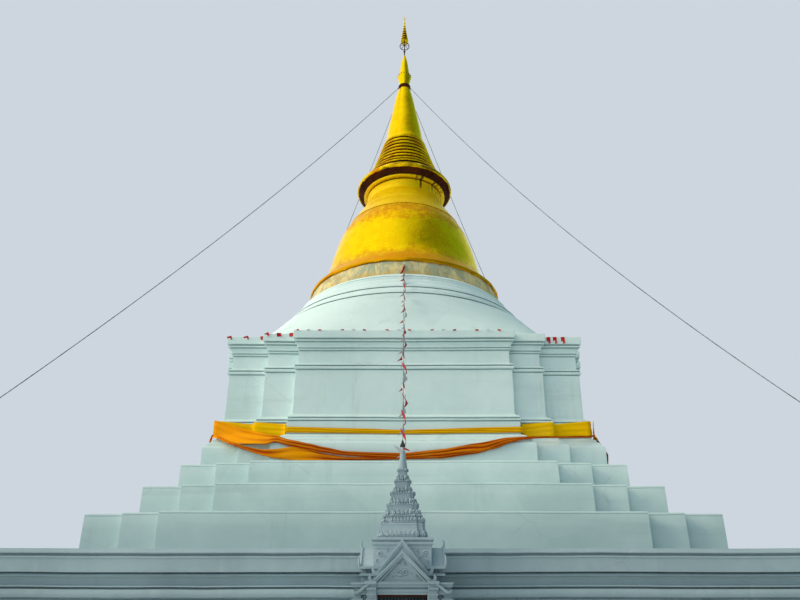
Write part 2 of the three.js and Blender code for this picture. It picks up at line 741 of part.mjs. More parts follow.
// The string that the small flags hang from, from the gilded band to the gate's tip.
function addFlagLine() {
  const [head, tail] = FLAG_LINE.map(([y, z]) => new THREE.Vector3(0, y, z));
  const belly = head.clone().add(tail).multiplyScalar(0.5);
  belly.z -= 2 * FLAG_LINE_SAG;
  const section = new THREE.Shape();
  section.absarc(0, 0, FLAG_LINE_RADIUS, 0, 2 * Math.PI);
  const path = new THREE.QuadraticBezierCurve3(head, belly, tail);
  const options = { steps: 24, curveSegments: 4, extrudePath: path, bevelEnabled: false };
  add('flag_line', closed(new THREE.ExtrudeGeometry(section, options)), fabric(STRING));
}

addTerrace();
addSteps();
addShoulder();
addBody();
addFlaredRoof();
addDrum();
addBell();
addDisc();
addRingedCone();
addSpire();
addFinial();
addGatePiers();
addGateRoof();
addGateSpire();
addLeaf('gate_left_leaf', -1);
addLeaf('gate_right_leaf', 1);
addStays();
addCloths();
addFlagLine();

export default model;
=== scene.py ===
"""Whitewashed stupa with a gilded bell and spire: its looks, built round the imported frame.

Metres, +Z up, in the frame's own axes. The front, with the small spired gate, faces -Y.
"""
import math

import bpy
from bpy.props import FloatProperty, FloatVectorProperty, IntProperty, PointerProperty
from mathutils import Matrix, Vector, noise


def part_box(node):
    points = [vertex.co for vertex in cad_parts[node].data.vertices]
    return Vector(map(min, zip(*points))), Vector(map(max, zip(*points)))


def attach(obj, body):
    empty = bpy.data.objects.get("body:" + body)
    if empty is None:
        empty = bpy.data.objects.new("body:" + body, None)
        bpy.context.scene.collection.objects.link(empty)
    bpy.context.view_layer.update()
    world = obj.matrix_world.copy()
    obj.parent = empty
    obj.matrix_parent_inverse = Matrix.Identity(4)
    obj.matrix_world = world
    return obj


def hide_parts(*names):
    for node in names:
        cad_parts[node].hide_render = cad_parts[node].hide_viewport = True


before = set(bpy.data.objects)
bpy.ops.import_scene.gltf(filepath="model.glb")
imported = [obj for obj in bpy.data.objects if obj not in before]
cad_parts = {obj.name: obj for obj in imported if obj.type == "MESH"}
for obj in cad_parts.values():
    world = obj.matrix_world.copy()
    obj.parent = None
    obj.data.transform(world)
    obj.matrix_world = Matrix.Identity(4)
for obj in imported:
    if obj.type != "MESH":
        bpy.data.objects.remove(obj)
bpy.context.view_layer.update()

# Without a fixed seed the noise, and so the plaster, would differ from run to run
WANDER_SEED = 5
noise.seed_set(WANDER_SEED)

bl_info = {
    "name": "Gilded Stupa",
    "version": (1, 0, 0),
    "blender": (4, 5, 0),
    "location": "View3D > Sidebar > Stupa",
    "description": "Builds a whitewashed stupa with a gilded bell, a ringed spire and a small gate",
    "category": "Add Mesh",
}


def srgb(red, green, blue):
    """A screen colour, 0 to 255, as linear light."""
    def linear(value):
        share = value / 255
        return share / 12.92 if share <= 0.04045 else ((share + 0.055) / 1.055) ** 2.4
    return (linear(red), linear(green), linear(blue))


# Sizes that the frame fixes, in metres

def top_of(node):
    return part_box(node)[1].z


def foot_of(node):
    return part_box(node)[0].z


TERRACE_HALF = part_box("terrace_cornice")[1].x
TERRACE_TOP = top_of("terrace_cornice")
CORNICE_FOOT = foot_of("terrace_cornice")
TERRACE_LIP = 0.03
PLINTH_FOOT = foot_of("body_plinth")
WALL_FOOT = foot_of("body_wall")
FRIEZE_FOOT = foot_of("body_frieze")
CORNICE_TOP = top_of("body_cornice")
FLARE_TOP = top_of("flared_roof")
BAND_TOP = top_of("gilded_band")
DRUM_TOP = top_of("drum_mouldings")
BELL_TOP = top_of("bell")
NECK_FOOT = foot_of("neck")
DISC_TOP = top_of("disc")
RINGS_TOP = top_of("ringed_cone")
COLLAR_FOOT = foot_of("stay_collar")
BULB_TOP = top_of("spire_bulb")
MAST_FOOT = foot_of("finial_mast")
UMBRELLA_FOOT = foot_of("tiered_umbrella")
UMBRELLA_TOP = top_of("tiered_umbrella")
TIP = top_of("spire_vane")
GATE_AXIS = (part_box("gate_attic")[0].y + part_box("gate_attic")[1].y) / 2
CLOTH_REACH = 0.1753
QUARTER_TURNS = [Matrix.Rotation(k * math.pi / 2, 3, "Z") for k in range(4)]

# The camera, the lamp and the stage

SENSOR_WIDTH = 36
LENS_LENGTH = 29.25
LENS_SHIFT = (-0.007, 0.115)
EYE_RIGHT = 0.06
FAR_CLIP = 1000
KEY_ENERGY = 1.85
KEY_SPREAD = math.radians(24)
KEY_COLOUR = (1.0, 0.8, 0.52)
KEY_FROM = Vector((-1.0, -0.22, 0.6))
SKY_STRENGTH = 1.12
FLOOR_RADIUS = 400


def length(name, text, default, low, high):
    """A size in metres that a user can change."""
    return FloatProperty(name=name, description=text, default=default, min=low, max=high, unit="LENGTH")


def number(name, text, default, low, high):
    """A count that a user can change."""
    return IntProperty(name=name, description=text, default=default, min=low, max=high)


class StupaSizes(bpy.types.PropertyGroup):
    wander: length("Wall Wander", "How far the hand-laid plaster strays from true", 0.02, 0, 0.1)
    arris: length("Arris", "Rounding of the plaster's edges", 0.016, 0, 0.1)
    course: length("Wall Division", "Distance between the points of the long walls", 0.5, 0.1, 2)
    around: number("Turned Segments", "Faces around each round storey", 176, 32, 512)
    ring_count: number("Spire Rings", "Rings on the lower part of the spire", 9, 3, 30)
    fold: length("Cloth Fold", "Depth of the folds in the gathered cloth", 0.045, 0, 0.2)
    rope_radius: length("Stay Radius", "Radius of the wire stays", 0.014, 0.005, 0.05)
    flag_pitch: length("Flag Pitch", "Distance between flags on the string", 0.5, 0.2, 2)
    flag_drop: length("Flag Drop", "Height of one flag", 0.3, 0.05, 1)
    flag_width: length("Flag Width", "Width of one flag", 0.2, 0.05, 1)
    eye_distance: length("Eye Distance", "Camera's distance from the axis", 28, 10, 200)
    eye_height: length("Eye Height", "Camera's height over the ground", 1.6, 0.2, 50)
    eye_pitch: FloatProperty(
        name="Eye Pitch", description="How far the camera looks up", default=math.radians(18.23),
        subtype="ANGLE")


def colour(name, text, red, green, blue):
    """A colour that a user can change."""
    return FloatVectorProperty(
        name=name, description=text, default=srgb(red, green, blue), size=3, min=0, max=1, subtype="COLOR")


class StupaColours(bpy.types.PropertyGroup):
    limewash: colour("Limewash", "The walls' pale wash", 224, 246, 247)
    lime_shade: colour("Limewash Shade", "Damp and older wash", 206, 231, 232)
    gate_wash: colour("Gate Wash", "Blue-grey wash of the gate", 172, 194, 204)
    gate_shade: colour("Gate Shade", "Weathered wash of the gate", 142, 164, 175)
    gold: colour("Gold", "Fresh gilding", 255, 216, 2)
    ochre: colour("Ochre", "Worn gilding and its ground coat", 226, 154, 0)
    worn: colour("Worn Ground", "Plaster under the worn gilding", 224, 208, 150)
    maroon: colour("Maroon", "Dark paint under the disc and on the collar", 78, 34, 12)
    yellow_cloth: colour("Yellow Cloth", "The yellow wrap", 255, 206, 0)
    orange_cloth: colour("Orange Cloth", "The orange wrap", 255, 170, 0)
    red_flag: colour("Red Flag", "The red flags", 190, 6, 26)
    white_flag: colour("White Flag", "The pale flags", 205, 208, 212)
    sky: colour("Backdrop", "The plain backdrop behind the object", 205, 214, 223)


def sizes():
    return bpy.context.scene.stupa_sizes


def colours():
    return bpy.context.scene.stupa_colours


# Nodes and objects

def put(tree, socket, value):
    """Links an output to the socket, or sets the socket's own value."""
    if isinstance(value, bpy.types.NodeSocket):
        tree.links.new(value, socket)
    elif socket.type == "RGBA":
        socket.default_value = (*value[:3], 1)
    else:
        socket.default_value = value


def new_node(tree, kind, inputs, settings):
    """A node whose settings are made first, because they decide which sockets it has."""
    node = tree.nodes.new(kind)
    for key, value in settings.items():
        setattr(node, key, value)
    for key, value in (inputs or {}).items():
        put(tree, node.inputs[key], value)
    return node


def placed(name, data):
    """A new object at the origin, linked to the scene."""
    made = bpy.data.objects.new(name, data)
    bpy.context.scene.collection.objects.link(made)
    return made


def all_round(count):
    """The angles of so many points, evenly round a circle."""
    return [2 * math.pi * k / count for k in range(count)]


# Material recipes

class Finish:
    """A material whose nodes are added by short calls."""

    def __init__(self, name, roughness, metallic=0.0):
        self.material = bpy.data.materials.new(name)
        self.material.use_nodes = True
        self.tree = self.material.node_tree
        self.shader = self.tree.nodes["Principled BSDF"]
        self.shader.inputs["Roughness"].default_value = roughness
        self.shader.inputs["Metallic"].default_value = metallic
        self.place = self.add("ShaderNodeTexCoord").outputs["Object"]
        self.relief = None

    def add(self, kind, inputs=None, **settings):
        return new_node(self.tree, kind, inputs, settings)

    def chart(self):
        """The piece's own UV map."""
        return self.add("ShaderNodeUVMap").outputs["UV"]

    def openness(self, near, samples=6):
        """1 in the open, and less in a corner or groove that is closer than `near`."""
        return self.add("ShaderNodeAmbientOcclusion", {"Distance": near}, samples=samples).outputs["AO"]

    def noise(self, scale, detail=4, rough=0.55, stretch=None, place=None, warp=0.0):
        place = place or self.place
        if stretch:
            place = self.add("ShaderNodeMapping", {"Vector": place, "Scale": stretch}).outputs[0]
        values = {"Vector": place, "Scale": scale, "Detail": detail, "Roughness": rough, "Distortion": warp}
        return self.add("ShaderNodeTexNoise", values).outputs["Fac"]

    def cells(self, scale, place, feature="F1"):
        return self.add("ShaderNodeTexVoronoi", {"Vector": place, "Scale": scale}, feature=feature).outputs

    def axis(self, letter, place=None):
        return self.add("ShaderNodeSeparateXYZ", {0: place or self.place}).outputs[letter]

    def band(self, value, low, high, start=0.0, end=1.0):
        """`start` below low and `end` over high, with a soft step between."""
        values = {"Value": value, "From Min": low, "From Max": high, "To Min": start, "To Max": end}
        return self.add("ShaderNodeMapRange", values, interpolation_type="SMOOTHSTEP").outputs[0]

    def math(self, operation, first, second, clamp=False):
        node = self.add("ShaderNodeMath", {0: first, 1: second}, operation=operation, use_clamp=clamp)
        return node.outputs[0]

    def mix(self, factor, first, second, blend="MIX"):
        node = self.add("ShaderNodeMix", data_type="RGBA", blend_type=blend)
        for index, value in ((0, factor), (6, first), (7, second)):
            put(self.tree, node.inputs[index], value)
        return node.outputs[2]

    def bump(self, height, distance, strength):
        values = {"Height": height, "Distance": distance, "Strength": strength}
        if self.relief:
            values["Normal"] = self.relief
        self.relief = self.add("ShaderNodeBump", values).outputs[0]

    def set(self, **values):
        """Sets or links inputs of the shader, with _ for a space in their names."""
        for key, value in values.items():
            put(self.tree, self.shader.inputs[key.replace("_", " ")], value)

    def done(self):
        if self.relief:
            self.set(Normal=self.relief)
        return self.material


def limewash(name, pale, shade, grime_and_shade=srgb(104, 118, 112), streaks=1.0, near=0.14, darker_below=(7.4, 2.9)):
    """Brushed wash on hand-laid plaster: mottled, streaked, patched, cracked and grimy, with painted shade in
    its joints and corners, and darker towards the bottom.
    """
    f = Finish(name, 0.85)
    cloudy = f.noise(0.32, 5, 0.6)
    brushed = f.noise(2.6, 6, 0.7)
    mottled = f.math("ADD", cloudy, f.math("MULTIPLY", brushed, 0.35))
    tone = f.mix(f.band(mottled, 0.5, 0.9, 0.2, 0.85), shade, pale)

    bend = f.add("ShaderNodeTexNoise", {"Vector": f.place, "Scale": 1.1}).outputs["Color"]
    warped = f.mix(0.12, f.place, bend, "ADD")
    patch = f.add("ShaderNodeSeparateColor", {0: f.cells(0.42, warped)["Color"]}).outputs[0]
    tone = f.mix(f.band(patch, 0.55, 0.95, 0, 0.25), tone, pale)
    tone = f.mix(f.band(patch, 0.3, 0.05, 0, 0.1), tone, shade, "MULTIPLY")

    streak = f.noise(1.5, 6, 0.68, stretch=(1, 1, 0.1), warp=0.2)
    tone = f.mix(f.band(streak, 0.56, 0.78, 0, 0.16 * streaks), tone, grime_and_shade, "MULTIPLY")
    level = f.noise(1.2, 5, 0.6, stretch=(0.12, 0.12, 1.6))
    tone = f.mix(f.band(level, 0.55, 0.75, 0, 0.12 * streaks), tone, grime_and_shade, "MULTIPLY")
    bright = f.noise(2.3, 5, 0.6, stretch=(1, 1, 0.16))
    tone = f.mix(f.band(bright, 0.6, 0.8, 0, 0.15), tone, (1, 1, 1))

    edge = f.cells(0.8, warped, "DISTANCE_TO_EDGE")["Distance"]
    sparse = f.band(f.noise(0.5, 2), 0.54, 0.64)
    crack = f.math("MULTIPLY", f.band(edge, 0.0, 0.008, 1, 0), sparse)
    tone = f.mix(f.math("MULTIPLY", crack, 0.2), tone, grime_and_shade)

    # Darker towards the bottom, between the two heights given; on the gate this is painted shade on its
    # lower, recessed parts.
    if darker_below:
        wavy_height = f.math("ADD", f.axis("Z"), f.band(cloudy, 0.3, 0.7, -0.4, 0.4))
        tone = f.mix(f.band(wavy_height, *darker_below, 0, 0.85), tone, (0.66, 0.70, 0.72), "MULTIPLY")
    up = f.axis("Z", f.add("ShaderNodeNewGeometry").outputs["Normal"])
    moss = f.math("MULTIPLY", f.band(up, 0.85, 0.98), f.band(f.noise(1.7, 6, 0.7), 0.35, 0.7, 0.25, 0.8))
    tone = f.mix(f.math("MULTIPLY", moss, 0.4), tone, grime_and_shade, "MULTIPLY")
    # Painted shade: darker in joints, corners and grooves that are closer across than `near`.
    tone = f.mix(f.band(f.openness(near), 0.62, 0.2, 0, 0.35), tone, grime_and_shade, "MULTIPLY")

    f.set(Base_Color=tone, Roughness=f.band(brushed, 0.3, 0.7, 0.72, 0.95), Specular_IOR_Level=0.3)
    f.bump(f.noise(0.9, 4, 0.55), 0.03, 0.5)
    f.bump(f.noise(6, 6, 0.65), 0.006, 0.6)
    f.bump(f.noise(55, 3, 0.6), 0.001, 0.6)
    f.bump(f.math("MULTIPLY", crack, -1), 0.004, 0.6)
    return f.done()


def gilding(
        name, ground, low=None, high=None, drips=None, leaf=0.34, shine=0.2, near=0.22, metal=0.9,
        stain=0.0):
    """Leaf gilding over ochre paint, in small squares, with flecks where it is gone, and painted shade in its
    hollows and grooves.

    `low` and `high` are the heights below and above which the ochre ground shows through more, and dark
    drips run down from the height `drips`."""
    c = colours()
    f = Finish(name, shine, metal)
    chart = f.chart()
    squares = f.add("ShaderNodeTexBrick", {
        "Vector": chart, "Color1": (0, 0, 0), "Color2": (1, 1, 1), "Mortar": (0.5, 0.5, 0.5), "Scale": 1.0,
        "Mortar Size": 0.002, "Brick Width": leaf, "Row Height": leaf * 0.9, "Bias": 0.0}, offset=0.43)
    per_leaf = f.add("ShaderNodeSeparateColor", {0: squares.outputs["Color"]}).outputs[0]
    cloudy = f.noise(0.42, 6, 0.68, stretch=(1, 1, 0.6), warp=0.4)
    fine = f.noise(3.4, 7, 0.72, warp=0.3)
    wear = f.math("ADD", f.band(cloudy, 0.48, 0.7, 0, ground), f.band(fine, 0.56, 0.74, 0, 0.3))
    height = f.axis("Z")
    rough_edge = f.math("ADD", height, f.band(f.noise(1.6, 6, 0.75), 0.3, 0.7, -0.35, 0.35))
    if low:
        wear = f.math("ADD", wear, f.band(rough_edge, low + 0.35, low - 0.25, 0, 0.8))
    if high:
        over = f.band(rough_edge, high - 0.1, high + 0.25)
        wear = f.math("ADD", wear, f.math("MULTIPLY", over, f.band(fine, 0.3, 0.62, 0.3, 0.95)))
    wear = f.math("MINIMUM", wear, 0.9)
    tone = f.mix(wear, c.gold, c.ochre)
    tone = f.mix(f.band(per_leaf, 0, 1, 0, 0.16), tone, c.ochre, "MULTIPLY")
    run = f.noise(3.0, 5, 0.7, stretch=(1, 0.07, 1), place=chart)
    tone = f.mix(f.band(run, 0.6, 0.78, 0, 0.3), tone, c.ochre, "MULTIPLY")
    speck = f.math("MULTIPLY", f.band(f.noise(5.5, 4, 0.6), 0.69, 0.74), f.band(f.noise(0.8, 3), 0.48, 0.6))
    bare = f.math("MULTIPLY", speck, 0.85)
    if drips:
        right = f.band(f.axis("X"), 0.1, 0.7)
        front = f.band(f.axis("Y"), -0.2, -0.9)
        uneven = f.noise(2.2, 3, place=chart, stretch=(3, 0.05, 1))
        reach = f.math("SUBTRACT", height, f.band(uneven, 0.3, 0.7, -0.4, 0.9))
        drip = f.band(f.noise(7, 4, 0.6, stretch=(1, 0.03, 1), place=chart), 0.47, 0.57)
        drip = f.math("MULTIPLY", drip, f.band(reach, drips - 0.75, drips - 0.1))
        drip = f.math("MULTIPLY", drip, f.math("MULTIPLY", right, front))
        bare = f.math("MAXIMUM", bare, f.math("MULTIPLY", drip, 0.9))
    tone = f.mix(bare, tone, srgb(38, 26, 14))
    tone = f.mix(f.band(f.noise(1.3, 6, 0.7, warp=0.5), 0.4, 0.6, 0, stain), tone, srgb(60, 34, 8))
    # Painted shade: darker brown in hollows and grooves closer across than `near`, such as under each spire
    # ring.
    hollow_shade = f.band(f.openness(near), 0.75, 0.3, 0, 0.95)
    tone = f.mix(hollow_shade, tone, srgb(84, 42, 14), "MULTIPLY")
    rough = f.math("ADD", f.band(wear, 0, 1, shine, shine + 0.14), f.band(fine, 0.3, 0.7, -0.05, 0.08))
    metal = f.math("SUBTRACT", f.band(wear, 0, 1, metal, metal - 0.1), f.math("MULTIPLY", bare, 0.5), True)
    f.set(Base_Color=tone, Roughness=f.math("ADD", rough, f.math("MULTIPLY", bare, 0.3)), Metallic=metal)
    f.set(Specular_Tint=(1.0, 0.9, 0.5), Specular_IOR_Level=0.25)
    f.bump(f.noise(0.8, 3), 0.06, 0.5)
    f.bump(f.noise(2.6, 5, 0.6), 0.018, 0.55)
    f.bump(squares.outputs["Fac"], 0.0015, 0.4)
    f.bump(f.noise(19, 5, 0.7), 0.0015, 0.25)
    return f.done()


def worn_gilding(name):
    """The band under the bell, where most of the gilding has flaked off the plaster."""
    c = colours()
    f = Finish(name, 0.6)
    slanted = f.add("ShaderNodeMapping", {
        "Vector": f.chart(), "Rotation": (0, 0, math.radians(28)), "Scale": (1, 0.5, 1)}).outputs[0]
    flake = f.noise(1.7, 7, 0.72, place=slanted, warp=0.8)
    stain = f.noise(0.55, 5, 0.65, warp=0.4)
    tone = f.mix(f.band(flake, 0.44, 0.56), c.worn, srgb(166, 178, 152))
    gold = f.math("MULTIPLY", f.band(flake, 0.5, 0.6), f.band(stain, 0.42, 0.6))
    low = f.band(f.axis("Z"), DRUM_TOP + 0.42, DRUM_TOP + 0.02)
    gold = f.math("MAXIMUM", gold, f.math("MULTIPLY", low, f.band(f.noise(1.3, 6, 0.7), 0.42, 0.58)))
    tone = f.mix(f.math("MULTIPLY", gold, 0.8), tone, srgb(214, 172, 74))
    tone = f.mix(f.band(f.noise(4.5, 6, 0.7), 0.56, 0.7, 0, 0.7), tone, srgb(190, 122, 56))
    pit = f.band(f.noise(7, 4, 0.6), 0.68, 0.74)
    tone = f.mix(f.math("MULTIPLY", pit, 0.7), tone, srgb(92, 86, 66))
    f.set(
        Base_Color=tone, Metallic=f.math("MULTIPLY", gold, 0.25), Roughness=f.band(gold, 0, 1, 0.82, 0.62))
    f.set(Specular_IOR_Level=0.25)
    f.bump(flake, 0.012, 0.7)
    f.bump(f.noise(12, 6, 0.7), 0.006, 0.7)
    return f.done()


def dark_paint(name):
    """Dark red-brown paint that has flecked, with traces of gold and sooty black patches."""
    f = Finish(name, 0.62)
    base = colours().maroon
    cloudy = f.noise(1.1, 6, 0.7)
    tone = f.mix(f.band(cloudy, 0.35, 0.7), base, srgb(38, 15, 7))
    tone = f.mix(f.band(f.noise(2.8, 6, 0.7), 0.58, 0.75, 0, 0.6), tone, srgb(96, 46, 14))
    fleck = f.math("MULTIPLY", f.band(f.noise(8, 5, 0.7), 0.62, 0.68), f.band(cloudy, 0.5, 0.6))
    tone = f.mix(fleck, tone, srgb(206, 168, 74))
    f.set(Base_Color=tone, Roughness=f.band(cloudy, 0.3, 0.7, 0.6, 0.85), Specular_IOR_Level=0.1)
    f.bump(f.noise(3, 6, 0.7), 0.02, 0.5)
    f.bump(f.noise(30, 4, 0.6), 0.003, 0.6)
    return f.done()


def ironwork(name):
    """Painted iron with rust at its edges."""
    f = Finish(name, 0.5, 0.4)
    spots = f.noise(9, 7, 0.7)
    worn = f.math("MAXIMUM", f.band(spots, 0.55, 0.68), f.band(f.openness(0.05, 4), 0.7, 0.3, 0, 0.8))
    f.set(Base_Color=f.mix(worn, srgb(40, 42, 46), srgb(96, 52, 30)))
    f.set(Roughness=f.band(worn, 0, 1, 0.42, 0.85), Metallic=f.band(worn, 0, 1, 0.5, 0.1))
    f.bump(spots, 0.002, 0.6)
    return f.done()


def wire_rope(name):
    """Galvanised wire with dull and rusty lengths."""
    f = Finish(name, 0.42, 0.75)
    dull = f.noise(1.4, 6, 0.7)
    tone = f.mix(f.band(dull, 0.4, 0.7), srgb(150, 154, 158), srgb(88, 86, 84))
    tone = f.mix(f.band(f.noise(5, 5, 0.7), 0.6, 0.72), tone, srgb(120, 76, 50))
    f.set(Base_Color=tone, Roughness=f.band(dull, 0.3, 0.7, 0.35, 0.65))
    f.bump(f.noise(60, 3), 0.0015, 0.5)
    return f.done()


def woven(name, base, deep, fold=1.0):
    """Thin shiny cloth: a fine weave on its own chart, with painted shade in its pleats and folds, deepest
    where it is gathered.
    """
    f = Finish(name, 0.6)
    chart = f.chart()
    crease = f.add("ShaderNodeAttribute", attribute_name="crease").outputs["Fac"]
    long_fold = f.noise(5.5, 4, 0.6, stretch=(0.06, 1, 1), place=chart, warp=0.5)
    cloudy = f.noise(0.9, 4, 0.6, place=chart)
    # Painted shade: the attribute from draped (pleats' hollows and gathered middle) and long folds from noise
    # darken the cloth towards `deep`.
    shadow = f.math("ADD", f.math("MULTIPLY", crease, fold), f.band(long_fold, 0.5, 0.78, 0, 0.4), True)
    tone = f.mix(shadow, base, deep)
    tone = f.mix(f.band(cloudy, 0.5, 0.75, 0, 0.2), tone, deep)
    tone = f.mix(f.band(cloudy, 0.5, 0.25, 0, 0.25), tone, f.mix(0.25, base, (1, 0.9, 0.3)))
    thread = {"Vector": chart, "Scale": 90.0, "Distortion": 0.5}
    warp, weft = (
        f.add("ShaderNodeTexWave", thread, bands_direction=way).outputs["Fac"] for way in ("X", "Y"))
    weave = f.math("MULTIPLY", warp, weft)
    tone = f.mix(f.band(weave, 0, 1, 0.1, 0), tone, deep)
    f.set(Base_Color=tone, Roughness=f.band(weave, 0, 1, 0.72, 0.58), Specular_IOR_Level=0.06)
    f.set(Sheen_Weight=0.9, Sheen_Roughness=0.6, Sheen_Tint=base)
    f.bump(long_fold, 0.03, 0.7)
    f.bump(f.noise(26, 4, place=chart, stretch=(0.3, 1, 1)), 0.004, 0.6)
    f.bump(weave, 0.0006, 0.5)
    return f.done()


def bunting(name, base):
    """Thin plastic cloth of the flags, faded towards the tips and creased."""
    f = Finish(name, 0.5)
    fade = f.noise(1.3, 4, 0.6)
    tone = f.mix(f.band(fade, 0.4, 0.75, 0, 0.8), base, f.mix(0.12, base, (0.9, 0.9, 0.9)))
    tone = f.mix(f.band(f.noise(14, 5, 0.7), 0.6, 0.75, 0, 0.5), tone, f.mix(0.6, base, (0.02, 0.02, 0.02)))
    f.set(Base_Color=tone, Roughness=f.band(fade, 0.3, 0.7, 0.4, 0.65), Specular_IOR_Level=0.2)
    f.bump(f.noise(9, 4, 0.6), 0.012, 0.6)
    return f.done()


def pale_floor(name):
    """The studio's pale floor."""
    f = Finish(name, 0.9)
    soft = f.noise(0.05, 3)
    f.set(Base_Color=f.mix(f.band(soft, 0.3, 0.7), srgb(206, 208, 208), srgb(214, 216, 216)))
    f.bump(f.noise(14, 4), 0.002, 0.4)
    return f.done()


RECIPES = {
    "limewash": lambda n: limewash(n, colours().limewash, colours().lime_shade),
    "terrace_wash": lambda n: limewash(
        n, srgb(170, 194, 203), srgb(146, 170, 179), srgb(92, 108, 114), 1.5, 0.09, None),
    # The gate's wash darkens from 2.9 m down to 1.8 m: painted shade on its lower, recessed parts.
    "gate_wash": lambda n: limewash(
        n, colours().gate_wash, colours().gate_shade, srgb(70, 82, 86), 1.3, 0.07, (2.9, 1.8)),
    "bell_gold": lambda n: gilding(n, low=15.95, high=18.0, ground=0.3),
    "shoulder_gold": lambda n: gilding(n, ground=0.1, shine=0.34, near=0.1, metal=0.35),
    "neck_gold": lambda n: gilding(n, drips=20.9, ground=0.06, shine=0.3, near=0.12, metal=0.4),
    "disc_gold": lambda n: gilding(n, ground=1.4, leaf=0.25, shine=0.4, stain=0.8),
    "ring_gold": lambda n: gilding(n, ground=1.5, leaf=0.2, shine=0.24, near=0.32, stain=0.4),
    "spire_gold": lambda n: gilding(n, ground=0.3, leaf=0.28),
    "finial_gold": lambda n: gilding(n, ground=0.6, leaf=0.1),
    "worn_gold": worn_gilding,
    "dark_paint": dark_paint,
    "ironwork": ironwork,
    "wire_rope": wire_rope,
    "yellow_cloth": lambda n: woven(n, colours().yellow_cloth, srgb(214, 142, 0)),
    "orange_cloth": lambda n: woven(n, colours().orange_cloth, srgb(158, 30, 8), 1.7),
    "string": lambda n: bunting(n, srgb(70, 62, 60)),
    "flag_red": lambda n: bunting(n, colours().red_flag),
    "flag_white": lambda n: bunting(n, colours().white_flag),
    "pale_floor": pale_floor,
}


def finish(name):
    """The material of that recipe, made the first time it is asked for.

    Its name ends in _finish, as the frame has plain materials with some of the recipes' names."""
    made = name + "_finish"
    return bpy.data.materials.get(made) or RECIPES[name](made)


# Shape helpers

def profile(*steps):
    """(reach, height) points. A step's third number bows the stretch up to it outwards, or in if negative."""
    points = [Vector(steps[0][:2])]
    for step in steps[1:]:
        start = points[-1].copy()
        run = Vector(step[:2]) - start
        if len(step) > 2:
            side = Vector((run.y, -run.x)).normalized() * step[2] * 4
            for k in range(1, 6):
                share = k / 6
                points.append(start + run * share + side * share * (1 - share))
        points.append(start + run)
    return points


def filled(points, most):
    """The same profile with extra points on stretches longer than `most`."""
    full = [points[0]]
    for point in points[1:]:
        start = full[-1]
        parts = max(1, math.ceil((point - start).length / most))
        full.extend(start.lerp(point, k / parts) for k in range(1, parts + 1))
    return full


def flowing(points, parts=5):
    """A smooth line through points, by Catmull-Rom."""
    points = [Vector(p) for p in points]
    ends = [2 * points[0] - points[1], *points, 2 * points[-1] - points[-2]]
    line = [points[0]]
    for a, b, c, d in zip(ends, ends[1:], ends[2:], ends[3:]):
        for k in range(1, parts + 1):
            t = k / parts
            line.append(0.5 * (2 * b + (c - a) * t + (2 * a - 5 * b + 4 * c - d) * t * t
                               + (3 * b - a - 3 * c + d) * t ** 3))
    return line


def strayed(point, reach):
    """A point moved a little, as hand-laid plaster strays.

    The move depends on the place only, so pieces that meet stay together."""
    slow = noise.noise_vector(point * 0.31)
    quick = noise.noise_vector(point * 1.3 + Vector((7, 3, 5)))
    return point + (slow + quick * 0.4) * reach


